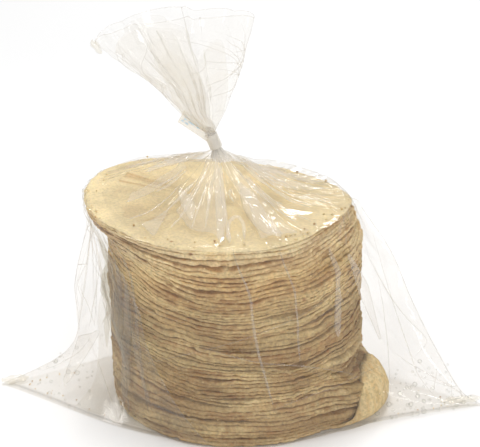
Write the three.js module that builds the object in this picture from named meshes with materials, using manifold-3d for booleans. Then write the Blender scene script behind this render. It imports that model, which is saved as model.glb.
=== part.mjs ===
// A stack of corn tortillas in a clear film bag: the bag is gathered over the stack, a strip of tape holds the
// neck, and the mouth of the bag fans out above it.
// Millimetres, +Z up. The origin is on the floor, under the middle of the stack. +X runs from the bag's left ear to
// its right ear, and -Y is the front.
import * as THREE from "three";
import { LoftGeometry } from "three/addons/geometries/LoftGeometry.js";
import { mergeVertices } from "three/addons/utils/BufferGeometryUtils.js";
import Module from "manifold-3d";

// ---- Driving dimensions -------------------------------------------------------------------------------------------

// The stack that fills the bag.
const TORTILLA_RADIUS = 75;
const STACK_HEIGHT = 122;
const FOOT_ROUNDING = 0.8; // the lowest tortillas are this much smaller in radius
const FOOT_SLIDE = new THREE.Vector2(2, -2.5); // and they have slid this far, to the right and to the front
const FOOT_SLIDE_TO = 26; // the height where the slide ends
const TOP_GROWTH = 2; // the top tortillas spread this much wider in radius
const TOP_SLIDE = 8; // and have slid this far to the left
const TOP_FROM = 88; // the height where both begin
const TOP_SAG = 3.5; // the rim sags this far at its lowest point
const TOP_SAG_AT = THREE.MathUtils.degToRad(35); // which lies at the back right

// Where the film lies on the stack, the bundles of tortillas show through it as ridges.
const BUNDLES = 20;
const BUNDLE_RELIEF = 1.1;
const BUNDLE_WAVE = 1.6; // how far a bundle's edge rises and falls round the stack

// The bag is two flat panels, joined at its side edges and its bottom seam.
const PANEL_PINCH = 0.3; // how far the two panels fall together beside the stack, as a share
const EAR_SPREAD = 5.5; // on the floor at the left they lie this far outside their taut line instead
const EAR_RISE = 0.15; // the share of the stack's height where that ends
const RIM_ROUND = 1.4; // the film turns over the top tortilla with this radius

// The side edges of the bag, from the tips of its ears on the floor up to the rim of the stack.
const RIGHT_EDGE = new THREE.CatmullRomCurve3([
  new THREE.Vector3(146, -25, 0),
  new THREE.Vector3(135, -22, 9),
  new THREE.Vector3(121, -17, 34),
  new THREE.Vector3(106, -11, 64),
  new THREE.Vector3(91, -4, 97),
  new THREE.Vector3(76, 0, STACK_HEIGHT - 3),
]);
const LEFT_EDGE = new THREE.CatmullRomCurve3([
  new THREE.Vector3(-142, 4, 0),
  new THREE.Vector3(-121, 9, 8),
  new THREE.Vector3(-96, 5, 28),
  new THREE.Vector3(-98, 2, 62),
  new THREE.Vector3(-93, 0, 97),
  new THREE.Vector3(-88, 0, STACK_HEIGHT - 2),
]);

// The tent of film over the top tortilla, from the rim up to the neck.
const TENT_STEEPNESS_BACK = 0.86; // under 1 it stands off the tortilla, and over 1 it lies on it first
const TENT_STEEPNESS_FRONT = 1.45;
const TENT_PEAK = 0.18; // the share of its height that it gains in the last steep rise into the neck
const TENT_FOLD = 2.4; // height of the folds that run down from the neck

// The neck, which leans to the left.
const NECK_FOOT = new THREE.Vector3(-10.5, 3, 151);
const NECK_TOP = new THREE.Vector3(-14.5, 3, 161);
const NECK_RADIUS = 2.6;

// The fan of loose film above the neck: its left and right edges, from the neck up to the mouth's corners.
const FAN_LEFT_EDGE = new THREE.CatmullRomCurve3([
  new THREE.Vector3(NECK_TOP.x - NECK_RADIUS, NECK_TOP.y, NECK_TOP.z),
  new THREE.Vector3(-30, 3, 171),
  new THREE.Vector3(-42, 3, 185),
  new THREE.Vector3(-61, 2, 199.5),
  new THREE.Vector3(-78.5, 2, 214),
]);
const FAN_RIGHT_EDGE = new THREE.CatmullRomCurve3([
  new THREE.Vector3(NECK_TOP.x + NECK_RADIUS, NECK_TOP.y, NECK_TOP.z),
  new THREE.Vector3(-7, 3, 171),
  new THREE.Vector3(-1, 3, 187),
  new THREE.Vector3(5, 2, 204),
  new THREE.Vector3(10, 2, 228),
]);
const MOUTH_HALF_DEPTH = 17;
const MOUTH_RISE = 10.5; // the mouth's edge arches this far above the line between its corners
const MOUTH_STEP = 0.4; // and right of the folded edge it is lower by this share
const MOUTH_DISH = 3.5; // the shallow hollow between the mouth's two layers of film
const FOLDED_EDGE_LOW = 0.6; // where the front's folded edge runs, from the middle to the right edge: at the neck
const FOLDED_EDGE_HIGH = 0.14; // and at the mouth
const LOBE_DEPTH = 0.4; // right of the folded edge, the front stands this share as far forward

// Folds that gather towards the neck.
const FOLDS = 9;
const FOLD_DEPTH = 0.3; // of the fan's radius

// The strip of tape round the neck, and its two ends stuck together as a flag behind the fan.
const TAPE_WIDTH = 8.4;
const TAPE_THICKNESS = 0.7;
const TAPE_GAP = 0.4; // between the neck and the tape
const FLAG_LENGTH = 25;
const FLAG_THICKNESS = 0.6;
const FLAG_RISE_DEG = 30;
const FLAG_SWING_DEG = 17; // away from the fan, to the back

// How finely the bag is sampled.
const COLUMNS = 72;
const TENT_ROWS = 9;
const NECK_ROWS = 2;
const FAN_ROWS = 11;

// ---- Small helpers ------------------------------------------------------------------------------------------------

const { lerp, smoothstep, degToRad } = THREE.MathUtils;

// A repeatable draw between -1 and 1 for a whole number.
function draw(n) {
  const s = Math.sin(n * 127.1 + 11.7) * 43758.5453;
  return 2 * (s - Math.floor(s)) - 1;
}

// The shortest turn from one angle to another.
function turnBetween(a, b) {
  return Math.atan2(Math.sin(b - a), Math.cos(b - a));
}

// The angles at which a section is sampled. They crowd towards the two side edges, whose directions are given.
function sectionAngles(right, left) {
  const crowd = 0.6;
  return Array.from({ length: COLUMNS }, (_, i) => {
    const even = (2 * Math.PI * i) / COLUMNS;
    const angle = even - (crowd / 2) * Math.sin(2 * even);
    const towardsRight = (1 + Math.cos(even)) / 2;
    return angle + right * towardsRight + turnBetween(Math.PI, left) * (1 - towardsRight);
  });
}

// Folds that gather at the neck: 1 on a fold's crest and 0 in its valley.
function foldCrest(angle) {
  const wave = Math.cos(FOLDS * angle + 0.9 * Math.sin(2 * angle)) + 0.45 * Math.cos(5 * angle + 1.3);
  return (wave + 1.45) / 2.9;
}

// ---- The bag ------------------------------------------------------------------------------------------------------

// The round of tortillas at a height: its centre and its radius.
function stackAt(z) {
  const top = smoothstep(z, TOP_FROM, STACK_HEIGHT);
  const rounding = 1 - smoothstep(z, 0, 8);
  const footSlide = 1 - smoothstep(z, 0, FOOT_SLIDE_TO);
  return {
    x: FOOT_SLIDE.x * footSlide - TOP_SLIDE * top,
    y: FOOT_SLIDE.y * footSlide,
    radius: TORTILLA_RADIUS + TOP_GROWTH * top - FOOT_ROUNDING * rounding,
    sag: TOP_SAG * top,
  };
}

// A side edge of the bag at one level, as the stack's middle sees it. flat is 1 where its panels lie on the floor.
function edgeFrom(stack, point, flat) {
  const reach = Math.hypot(point.x - stack.x, point.y - stack.y);
  return {
    angle: Math.atan2(point.y - stack.y, point.x - stack.x),
    tangent: Math.acos(Math.min(1, stack.radius / reach)),
    z: point.z,
    pinch: PANEL_PINCH * (1 - flat),
    spread: EAR_SPREAD * flat,
  };
}

// One level of the bag round the stack. The film lies on the stack, and from there runs out to each side edge.
// share is 0 on the floor and 1 at the rim, and relief is how far the tortillas of this level stand out.
function bodySection(share, relief) {
  const z = STACK_HEIGHT * share;
  const stack = stackAt(z);
  const right = edgeFrom(stack, RIGHT_EDGE.getPoint(share), 0);
  const left = edgeFrom(stack, LEFT_EDGE.getPoint(share), 1 - smoothstep(share, 0, EAR_RISE));
  return sectionAngles(right.angle, left.angle).map((angle) => {
    let reach = stack.radius;
    let height = z - stack.sag * Math.max(0, Math.cos(angle - TOP_SAG_AT));
    let onStack = 1;
    for (const edge of [right, left]) {
      const away = Math.abs(turnBetween(angle, edge.angle));
      if (away >= edge.tangent) continue;
      const nearEdge = 1 - away / edge.tangent;
      const taut = stack.radius / Math.cos(edge.tangent - away);
      reach = taut + (edge.spread - (taut - stack.radius) * edge.pinch) * Math.sin(Math.PI * nearEdge);
      height = lerp(height, edge.z, nearEdge * nearEdge);
      onStack = 1 - smoothstep(nearEdge, 0, 0.35);
    }
    const inner = Math.sin(Math.PI * share);
    const wave = BUNDLE_WAVE * inner * (Math.sin(3 * angle + 5 * share) + 0.6 * Math.sin(7 * angle - 9 * share));
    return new THREE.Vector3(
      stack.x + (reach + relief * onStack) * Math.cos(angle),
      stack.y + (reach + relief * onStack) * Math.sin(angle),
      height + wave * onStack,
    );
  });
}

// The levels from the floor to the rim, two for each bundle of tortillas: its proud edge and the groove above it.
function bodySections() {
  const sections = [bodySection(0, 0), bodySection(0.012, 0)];
  const levels = 2 * BUNDLES;
  for (let k = 1; k < levels; k++) {
    const proud = k % 2 === 1 ? 1 : -1;
    sections.push(bodySection(k / levels, BUNDLE_RELIEF * (0.55 * proud + 0.45 * draw(k))));
  }
  sections.push(bodySection(1, 0));
  return sections;
}

// A ring of the neck: its centre moves from the foot of the neck to its top.
function neckSection(share) {
  const centre = NECK_FOOT.clone().lerp(NECK_TOP, share);
  return sectionAngles(0, Math.PI).map((angle) => {
    const radius = NECK_RADIUS * (1 + 0.1 * (foldCrest(angle) - 1));
    return new THREE.Vector3(centre.x + radius * Math.cos(angle), centre.y + radius * Math.sin(angle), centre.z);
  });
}

// The film from the rim of the stack up to the neck.
function tentSections() {
  const rim = bodySection(1, 0);
  const foot = neckSection(0);
  const centre = new THREE.Vector3(stackAt(STACK_HEIGHT).x, 0, STACK_HEIGHT + RIM_ROUND);
  const turned = rim.map((point) => {
    const inward = new THREE.Vector3(centre.x - point.x, centre.y - point.y, 0).setLength(RIM_ROUND);
    return new THREE.Vector3(point.x + inward.x, point.y + inward.y, lerp(point.z, centre.z, 0.75) + 0.3);
  });
  const sections = [turned];
  for (let row = 1; row < TENT_ROWS; row++) {
    const share = row / TENT_ROWS;
    sections.push(
      turned.map((point, i) => {
        const angle = Math.atan2(point.y, point.x - centre.x);
        const front = Math.max(0, -Math.sin(angle));
        const slope = Math.pow(share, lerp(TENT_STEEPNESS_BACK, TENT_STEEPNESS_FRONT, front));
        const rise = lerp(slope, Math.pow(share, 8), TENT_PEAK);
        const fold = TENT_FOLD * Math.sin(Math.PI * Math.pow(share, 1.4)) * (foldCrest(angle) - 0.5);
        const flat = point.clone().lerp(foot[i], share);
        return new THREE.Vector3(flat.x, flat.y, lerp(point.z, foot[i].z, rise) + fold);
      }),
    );
  }
  return sections;
}

// How far the mouth's edge arches above the line between its corners. side is -1 at the left corner and 1 at the right.
function mouthRise(side) {
  const arch = MOUTH_RISE * Math.pow(1 - side * side, 0.4);
  const pastFold = smoothstep(side, FOLDED_EDGE_HIGH, FOLDED_EDGE_HIGH + 0.1);
  return arch * (1 - MOUTH_STEP * pastFold);
}

// One level of the fan of film: flattened from front to back and folded towards its middle. Part of its front is a
// flat fold that ends in a straight edge, and right of that edge lies the thin lobe behind it.
function fanSection(share, inset = 0, sink = 0) {
  const left = FAN_LEFT_EDGE.getPoint(share);
  const right = FAN_RIGHT_EDGE.getPoint(share);
  const centre = left.clone().lerp(right, 0.5);
  const half = right.clone().sub(left).multiplyScalar(0.5);
  const halfDepth = lerp(NECK_RADIUS, MOUTH_HALF_DEPTH, share);
  const foldDepth = lerp(0.1, FOLD_DEPTH, smoothstep(share, 0, 0.35));
  const foldedEdge = lerp(FOLDED_EDGE_LOW, FOLDED_EDGE_HIGH, share);
  return sectionAngles(0, Math.PI).map((angle) => {
    const side = Math.cos(angle);
    const corner = Math.pow(Math.abs(side), 6); // the two corners of the mouth aren't folded
    const reach = (1 + foldDepth * (1 - corner) * (foldCrest(angle) - 1)) * (1 - inset);
    const pastFold = smoothstep(side, foldedEdge - 0.05, foldedEdge + 0.05) * smoothstep(share, 0, 0.2);
    const lobe = Math.sin(angle) < 0 ? lerp(1, LOBE_DEPTH, pastFold) : 1;
    const rise = mouthRise(side * (1 - inset)) * share * share - sink;
    return new THREE.Vector3(
      centre.x + half.x * reach * side,
      centre.y + halfDepth * reach * lobe * Math.sin(angle),
      centre.z + half.z * reach * side + rise,
    );
  });
}

function fanSections() {
  const sections = [];
  for (let row = 1; row <= FAN_ROWS; row++) sections.push(fanSection(row / FAN_ROWS));
  sections.push(fanSection(1, 0.25, MOUTH_DISH));
  sections.push(fanSection(1, 0.65, MOUTH_DISH * 0.7));
  return sections;
}

function bagGeometry() {
  const neck = Array.from({ length: NECK_ROWS + 1 }, (_, i) => neckSection(i / NECK_ROWS));
  const sections = [...bodySections(), ...tentSections(), ...neck, ...fanSections()];
  return new LoftGeometry(sections, { capStart: true, capEnd: true });
}

// ---- The tape -----------------------------------------------------------------------------------------------------

const wasm = await Module();
wasm.setup();

// A closed geometry as a manifold-3d solid, and back.
function solidOf(geometry) {
  const bare = geometry.index ? geometry.toNonIndexed() : geometry.clone();
  bare.deleteAttribute("normal");
  bare.deleteAttribute("uv");
  const merged = mergeVertices(bare, 1e-4);
  return new wasm.Manifold(
    new wasm.Mesh({
      numProp: 3,
      vertProperties: merged.attributes.position.array,
      triVerts: new Uint32Array(merged.index.array),
    }),
  );
}

function geometryOf(solid) {
  const mesh = solid.getMesh();
  return new THREE.BufferGeometry()
    .setAttribute("position", new THREE.BufferAttribute(mesh.vertProperties, 3))
    .setIndex(new THREE.BufferAttribute(mesh.triVerts, 1));
}

// The band of tape: a ring round the neck's axis, centred on the origin.
function bandGeometry() {
  const inner = NECK_RADIUS + TAPE_GAP;
  const outer = inner + TAPE_THICKNESS;
  const half = TAPE_WIDTH / 2;
  const profile = [
    [inner, -half],
    [outer, -half],
    [outer, half],
    [inner, half],
    [inner, -half],
  ].map(([radius, height]) => new THREE.Vector2(radius, height));
  const lean = NECK_TOP.clone().sub(NECK_FOOT).normalize();
  const tilt = new THREE.Quaternion().setFromUnitVectors(new THREE.Vector3(0, 1, 0), lean);
  return new THREE.LatheGeometry(profile, 36).applyQuaternion(tilt);
}

// The flag: it starts in the band's back wall and rises to the left, swinging back as it goes.
function flagGeometry() {
  const half = TAPE_WIDTH / 2;
  const rise = degToRad(FLAG_RISE_DEG);
  const far = new THREE.Vector2(-FLAG_LENGTH * Math.cos(rise), -half + FLAG_LENGTH * Math.sin(rise));
  const across = new THREE.Vector2(Math.sin(rise), Math.cos(rise)).multiplyScalar(TAPE_WIDTH);
  const outline = new THREE.Shape([
    new THREE.Vector2(0, -half),
    new THREE.Vector2(0, half),
    far.clone().add(across),
    far,
  ]);
  const backWall = NECK_RADIUS + TAPE_GAP + FLAG_THICKNESS + 0.05;
  return new THREE.ExtrudeGeometry(outline, { depth: FLAG_THICKNESS, bevelEnabled: false })
    .rotateX(Math.PI / 2)
    .rotateZ(-degToRad(FLAG_SWING_DEG))
    .translate(0, backWall, 0);
}

function tapeGeometry() {
  return geometryOf(solidOf(bandGeometry()).add(solidOf(flagGeometry())));
}

// ---- The part -----------------------------------------------------------------------------------------------------

const filmMaterial = new THREE.MeshStandardMaterial({ color: 0xece7dc, roughness: 0.25, metalness: 0 });
const tapeMaterial = new THREE.MeshStandardMaterial({ color: 0xe6dcc0, roughness: 0.35, metalness: 0 });

const part = new THREE.Group();

const bag = new THREE.Mesh(bagGeometry(), filmMaterial);
bag.name = "bag";
part.add(bag);

const tape = new THREE.Mesh(tapeGeometry(), tapeMaterial);
tape.name = "neck_tape";
tape.position.copy(NECK_FOOT).lerp(NECK_TOP, 0.5);
part.add(tape);

export default part;
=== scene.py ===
"""The looks of a stack of corn tortillas in a clear film bag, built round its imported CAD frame.

Lengths are millimetres until a mesh is made, and Blender's own are metres. The bag follows the same named
sizes as the CAD part. Every drawn pattern comes from a seed.
"""

import math

import bpy
import numpy as np
from mathutils import Euler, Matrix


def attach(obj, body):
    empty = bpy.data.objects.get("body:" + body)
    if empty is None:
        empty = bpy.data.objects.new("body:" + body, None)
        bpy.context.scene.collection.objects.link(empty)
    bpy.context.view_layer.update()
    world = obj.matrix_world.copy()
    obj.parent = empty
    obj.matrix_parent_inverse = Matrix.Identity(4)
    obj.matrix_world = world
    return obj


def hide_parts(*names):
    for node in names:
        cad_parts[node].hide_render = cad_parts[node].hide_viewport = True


# ---- Driving dimensions ----

MM = 0.001

# The stack, as in the CAD part.
TORTILLA_RADIUS = 75
STACK_HEIGHT = 122
FOOT_ROUNDING = 0.8
FOOT_SLIDE = (2, -2.5)
FOOT_SLIDE_TO = 26
TOP_GROWTH = 2
TOP_SLIDE = 8
TOP_FROM = 88
TOP_SAG = 3.5
TOP_SAG_AT = math.radians(35)

# The bag, as in the CAD part.
PANEL_PINCH = 0.3
EAR_SPREAD = 5.5
EAR_RISE = 0.15
RIM_ROUND = 1.4
RIGHT_EDGE = [(146, -25, 0), (135, -22, 9), (121, -17, 34), (106, -11, 64), (91, -4, 97), (76, 0, 119)]
LEFT_EDGE = [(-142, 4, 0), (-121, 9, 8), (-96, 5, 28), (-98, 2, 62), (-93, 0, 97), (-88, 0, 120)]
TENT_STEEPNESS_BACK = 0.86
TENT_STEEPNESS_FRONT = 1.45
TENT_PEAK = 0.18
NECK_FOOT = (-10.5, 3, 151)
NECK_TOP = (-14.5, 3, 161)
NECK_RADIUS = 2.6
FAN_LEFT_EDGE = [(-17.1, 3, 161), (-30, 3, 171), (-42, 3, 185), (-61, 2, 199.5), (-78.5, 2, 214)]
FAN_RIGHT_EDGE = [(-11.9, 3, 161), (-7, 3, 171), (-1, 3, 187), (5, 2, 204), (10, 2, 228)]
MOUTH_HALF_DEPTH = 17
MOUTH_RISE = 10.5
MOUTH_STEP = 0.4
FOLDED_EDGE_LOW = 0.6
FOLDED_EDGE_HIGH = 0.14
LOBE_DEPTH = 0.4

# The tortillas.
TORTILLAS = 52
TORTILLA_PIECES = [13, 27, 40]  # the first tortilla of each piece but the lowest
PLUMPNESS = [0.62, 0.75, 0.9, 1.0, 1.0, 1.15, 1.55]  # how thick they are, as shares of the mean
TORTILLA_SAMPLES = 560  # points round each tortilla
TOP_SAMPLES = 480  # and round the top one
EDGE_INSET = 1.1  # the tortillas' mean edge lies this far inside the film
STRAY = 0.3  # how far a bundle of tortillas lies off the middle
RAGGED = 0.7  # how far an edge wanders
CRUMBLE = 0.4  # how far its crumbs stand out
RECESS_SHADE_DEPTH = 1.3  # an edge this far behind its neighbours gets as much painted shade as a seam
GAP_BETWEEN = 0.14  # the mean gap between two bundles, as a share of a tortilla's thickness
GAP_WITHIN = 0.02  # and within a bundle
BUNDLE_SIZES = [1, 1, 2, 2, 3, 4]  # how many stick together is drawn from these
LIPS = 120  # drawn places where rims stick out and droop
NEAT_HEIGHT = STACK_HEIGHT - 0.8  # the stack's height before it is warped

# Where the stack parts into wide dark gaps: height, middle angle and half width, and how wide it parts.
WIDE_GAPS = [
    (117, -118, 46, 0.6),
    (112, -95, 50, 0.25),
    (100, -98, 26, 0.3),
    (60, -66, 26, 0.35),
    (41, -98, 26, 0.25),
    (24, -110, 30, 0.2),
    (66, 60, 50, 0.4),
    (98, 120, 40, 0.4),
    (50, 170, 40, 0.4),
]

# The rims stand higher on both flanks than at the front.
LEFT_RISE = 8.5
RIGHT_RISE = 8.5

# The top tortillas lie further in at their front right.
CORNER_AT = math.radians(-28)
CORNER_HALF_WIDTH = math.radians(36)
CORNER_INSET = 6

# And they stick out at their left.
LEFT_LIP_HALF_WIDTH = math.radians(70)
LEFT_LIP_REACH = 3.2

# The rims are ruffled on the right flank.
RUFFLE = 0.7
RUFFLE_AT = math.radians(-35)
RUFFLE_HALF_WIDTH = math.radians(50)

# The top of the stack stands higher at its back left.
BACK_RISE = 4.5
BACK_RISE_FROM = 92
BACK_RISE_AT = math.radians(150)
BACK_RISE_HALF_WIDTH = math.radians(75)

# The lowest tortilla has slid to the front right and curls up there, round those above, which fill the curl.
CURLED = 1  # how many are curled
CURL_AT = math.radians(-20)
CURL_HALF_WIDTH = math.radians(34)
CURL_SOFTNESS = math.radians(23)  # the curl fades over this much of it on its right side
CURL_SOFTNESS_FRONT = math.radians(34)  # and over this much on its front side
STRAND_LEAN = math.radians(-32)  # how far the curl's own layers lean to the right
CURL_START = 0.955  # the share of a tortilla's radius where the curl starts
CURL_SECTION = [(70.7, 0), (80, 0), (88, 1), (91.5, 6), (91, 14), (88, 22), (83.5, 27), (78, 29.5)]
CURL_GAP = 3.4  # how far the others lie inside the curl
CURL_FILL_TO = 37  # and up to this height they stick out

# The film.
FILM_COLUMNS = 208  # before it is refined
BODY_ROWS = 62
TENT_ROWS = 44
FAN_ROWS = 46
FILM_CLEARANCE = 0.9  # between the tortillas and the film
FILM_FOOT = 0.1  # how high the lowest film beside the stack lies
FLOOR_CLEARANCE = 0.05  # no film and no crumb lies lower
TENT_PLEATS = 34  # drawn narrow folds of the tent itself
CRUMPLE_FOLDS = 6  # how many waves a crumpled surface is made of
FACING_SPREAD = 8  # columns on each side over which the film's directions are evened out

# How far the tortillas reach is kept in steps of this size.
REACH_COLUMNS = 180
REACH_STEP = 2
REACH_ROWS = 62

# The film settles by simulation, ten times as large, because the solver is made for things of that size.
SETTLE_SCALE = 10
BODY_FRAMES = 22
FAN_FRAMES = 12
SETTLE_LIMIT = 12  # no point moves further than this
SETTLE_GAP = 0.004  # between the enlarged film and the solid, in metres
SETTLE_FRICTION = 12
SETTLE_GRAVITY = 0.25
CLOTH = {
    "quality": 6,
    "mass": 0.15,
    "tension_stiffness": 25,
    "compression_stiffness": 25,
    "shear_stiffness": 8,
    "bending_stiffness": 0.5,
    "tension_damping": 8,
    "compression_damping": 8,
    "bending_damping": 0.6,
    "air_damping": 3,
    "vertex_group_mass": "held",
    "vertex_group_shrink": "slack",
    "shrink_min": 0.0,
}
BODY_SLACK = 0.035
LEFT_WING_SLACK = 0.05
RIGHT_WING_SLACK = 0.012
TENT_SLACK = 0.3
FAN_SLACK = 0.12

# The main loose folds beside the stack, as routes of azimuth in degrees, height and half width: two long thin
# ones down the front and a broad one at its right.
FOLD_ROWS = 36
FOLD_COLUMNS = 10
FRONT_FOLDS = [
    [(-85, 120, 0.5), (-82, 70, 0.8), (-74, 25, 0.6)],
    [(-66, 118, 0.5), (-62, 50, 0.7)],
    [(-40, 112, 1.6), (-43, 60, 2.6)],
]
FLANK_FOLDS = 26  # drawn ones that run down both flanks and the back

# The main loose folds on the tent, as routes of x, y and half width: two down the middle, an arch beside
# them, a broad one and a flat flap.
TENT_FOLDS = [
    [(-11, -5, 1.5), (-8, -40, 3.0), (-8, -72, 1.6)],
    [(-9, -6, 1.0), (-3, -71, 1.4)],
    [(-4, -66, 0.8), (-3, -48, 1.0), (1, -43, 1.0), (4, -48, 1.0), (5, -66, 0.8)],
    [(4, -18, 3.0), (12, -38, 6.5), (24, -64, 4.0)],
    [(-32, -18, 1.2), (-27, -30, 3.5), (-24, -46, 1.5)],
]
RADIAL_FOLDS = 44  # drawn ones that run out from the neck

# Thin creases: how many, between which columns of the grid of film and between which rows, as shares. The
# columns run from the right edge over the back to the left edge and over the front.
CREASE_ROWS = 30
CREASE_COLUMNS = 5
CREASE_WIDTHS = (0.12, 0.4)
WING_CREASES = [(4, (-0.1, 0.1), (0.03, 0.95)), (9, (0.4, 0.6), (0.03, 0.95)), (8, (0.6, 0.95), (0.1, 0.9))]
FAN_CREASES = [(20, (-0.32, 0.28), (0.3, 0.97)), (26, (0.3, 0.75), (0.25, 0.97))]
HEM_RADIUS = 0.22

# Long creases on the front of the wings, as routes of x and z.
WING_LINES = [
    [(78, 108), (90, 69), (102, 35), (108, 20), (122, 4)],
    [(119, 22), (116, 11)],
    [(-83, 32), (-76, 19), (-69, 6)],
    [(-85, 88), (-79, 82), (-73, 72), (-70, 59)],
    [(-93, 66), (-88, 60), (-82, 46)],
    [(-77, 72), (-73, 52)],
]
LINE_RADIUS = 0.3

# Second layers of film: the one over the left flank, as its front edge's azimuths in degrees and heights, and
# flaps on the front of the wings, as the x and z of their two long edges.
SHEET_ROWS = 30
SHEET_COLUMNS = 16
FLANK_SHEET = [(-162, 104), (-150, 99), (-141, 85), (-135, 72), (-131, 55), (-124, 38), (-114, 20), (-104, 4)]
FLANK_SHEET_BACK = -164
FLAPS = [
    ([(-103, 10), (-97, 25), (-94, 33), (-81, 46)], [(-102, 8), (-93, 19), (-88, 27), (-80, 44)]),
    ([(63, 103), (71, 76), (83, 48)], [(64, 103), (76, 80), (84, 48)]),
]
FLAP_BULGE = 1.6

# Wedges of doubled, milky film on the tent, as the x and y of their two long edges: two that run down from
# the neck, and two small ones at the left. Their milky white is also a painted highlight for white glare, the
# first small one most.
TENT_WEDGES_AND_PAINTED_GLARE = [
    ([(-16, -4), (-25, -24), (-33, -36), (-25, -54)], [(-10, -6), (-7, -40), (-6, -70)]),
    ([(-8, -6), (8, -36), (14, -66)], [(-5, -4), (18, -28), (34, -56)]),
    ([(-52, -44), (-45, -63)], [(-37, -34), (-44, -63)]),
    ([(-30, 4), (-60, -8)], [(-28, -2), (-62, -18)]),
]

# Rolls of film at the left corner of the mouth and at the tips of the ears: where each starts and ends, and
# how wide it is.
ROLLS = [
    ((-80.5, 2, 216), (-75, 2, 208), 2.2),
    ((-142, 3, 2.4), (-126, 8, 3), 2.8),
    ((121, -26, 3), (146, -22, 4), 3),
]
ROLL_TURNS = 1.6
ROLL_ROWS = 24
ROLL_COLUMNS = 48

# The gathered film below, in and above the tape.
GATHER_ROWS = 26
GATHER_COLUMNS = 96
GATHER_MIDDLES = [(-7.5, 0.5, 145.5), (-10.5, 3, 151), (-14.5, 3, 161), (-15.7, 3, 163.5)]
GATHER_SIZES = (0.96, 0.8, 0.64)
GATHER_FLARE = 3  # how much wider it is at its foot
GATHER_PLEATS = (7, 13, 19, 29)

# Layers of film inside the fan: depth, seed, pleats, how far up each goes, how much of the width it takes and
# how much shorter it is at its sides.
FAN_LAYERS = [
    (0.75, 71, 7, 0.98, (-0.95, 0.14), 0.12),
    (0.6, 81, 12, 0.9, (-0.7, 0.13), 0.4),
    (0.4, 91, 5, 0.78, (-0.9, 0.3), 0.5),
    (0.3, 95, 5, 0.85, (0.0, 0.95), 0.6),
]

# The strip of tape, as in the CAD part, and the plain dashes on its flag: along, across and length.
TAPE_WIDTH = 8.4
TAPE_GAP = 0.4
FLAG_THICKNESS = 0.6
FLAG_RISE_DEG = 30
FLAG_SWING_DEG = 17
PRINT_WIDTH = 0.7
PRINT_DASHES = [
    (13, 5.6, 3), (17.5, 5.6, 2), (21, 5.6, 2.5),
    (12, 3.8, 2), (15.5, 3.8, 4), (21, 3.8, 1.5),
    (19, 2.0, 2), (22, 2.0, 1.5),
]

# Drops of water in the bag: azimuths in degrees, heights and how many.
DROP_PLACES = [
    ((-32, -8), (0, 30), 70),
    ((-24, -10), (2, 24), 30),
    ((150, 179), (1, 20), 26),
    ((-179, -160), (1, 20), 26),
]
DROP_GRID = (5, 10)
DROP_HEIGHT = 0.8

# Crumbs on the stack's side, on the top tortilla's rim and, in each span of azimuths, on the floor.
SIDE_CRUMBS = 700
RIM_CRUMBS = 46
FLOOR_CRUMBS = 12
FLOOR_CRUMB_SPANS = [(-60, 30), (-179, -120), (150, 179)]
CRUMB_GRID = (4, 7)
CRUMB_ROUGHNESS = 0.3

# The camera, which looks at the middle of the stack from the front and above.
CAMERA_AT = (0, -915.7, 461.9)
CAMERA_PITCH = math.radians(21.235)  # down from level
CAMERA_YAW = math.radians(0.17)  # to the right
CAMERA_LENS = 126.3

# The floor glows more and more towards its far parts, in metres from the object: painted light, which also
# lights the stack.
FLOOR_GLOW = 0.42
FLOOR_GLOW_TO = 2.2
FLOOR_HALF_SIDE = 30000
FLOOR_LEVEL = -0.3
WORLD_LIGHT = 0.58

# The lights: name, place and aim in metres, width and height, and power.
LIGHTS = [
    ("overhead", (-0.1, 0.1, 1.4), (0, 0, 0.1), (0.55, 0.4), 7.5),
    ("back_strip", (0.35, 1.3, 0.9), (0, 0, 0.15), (0.3, 0.15), 3),
    ("left_box", (-1.4, -0.5, 0.8), (0, 0, 0.1), (0.25, 0.9), 4),
    ("right_box", (1.3, -0.9, 0.7), (0, 0, 0.1), (0.2, 0.8), 3.2),
    ("front_fill", (0.5, -2.0, 0.9), (0, 0, 0.07), (0.8, 0.6), 9),
]

# Film, tape and water: the tints of what is seen straight through it and at a grazing angle, and its haze.
FILMS = {
    "film": ((0.99, 0.985, 0.975, 1), (0.82, 0.80, 0.77, 1), 0.018),
    "film_loose": ((0.985, 0.98, 0.97, 1), (0.74, 0.72, 0.69, 1), 0.09),
    "film_smoky": ((0.93, 0.92, 0.895, 1), (0.84, 0.82, 0.78, 1), 0.035),
    "film_rolled": ((0.98, 0.97, 0.945, 1), (0.62, 0.60, 0.56, 1), 0.04),
    "film_folded": ((0.99, 0.985, 0.975, 1), (0.88, 0.86, 0.83, 1), 0.2),
    "film_gathered": ((0.995, 0.99, 0.975, 1), (0.98, 0.965, 0.93, 1), 0.88),
    "tape": ((0.99, 0.98, 0.945, 1), (0.96, 0.94, 0.89, 1), 0.6),
    "water": ((0.97, 0.97, 0.96, 1), (0.10, 0.095, 0.09, 1), 0.0),
}
HAZE_COLOUR = (0.97, 0.95, 0.915, 1)

# Corn: its colour at shares of the stack's height, and the colours that lie over it. The colour by height is
# painted shade, darker down the stack's side where less light falls, with painted light bounced from the
# floor at its very foot.
CORN_WITH_PAINTED_SHADING = [
    (0.0, (0.78, 0.62, 0.36, 1)),
    (0.045, (0.46, 0.328, 0.158, 1)),
    (0.45, (0.49, 0.353, 0.165, 1)),
    (0.82, (0.74, 0.555, 0.275, 1)),
    (0.985, (0.85, 0.69, 0.41, 1)),
]
PALE_CORN = (0.82, 0.66, 0.36, 1)
LAYER_TINT = (0.95, 0.84, 0.70, 1)
TOASTED = (0.36, 0.17, 0.055, 1)
SEAM_AND_SHADE_TINT = (0.62, 0.46, 0.31, 1)
SPECK = (0.33, 0.13, 0.04, 1)

# ---- Small helpers ----


def lerp(a, b, t):
    return a + (b - a) * t


def eased(t):
    return t * t * (3 - 2 * t)


def smoothstep(x, low, high):
    return eased(np.clip((np.asarray(x, float) - low) / (high - low), 0, 1))


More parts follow.
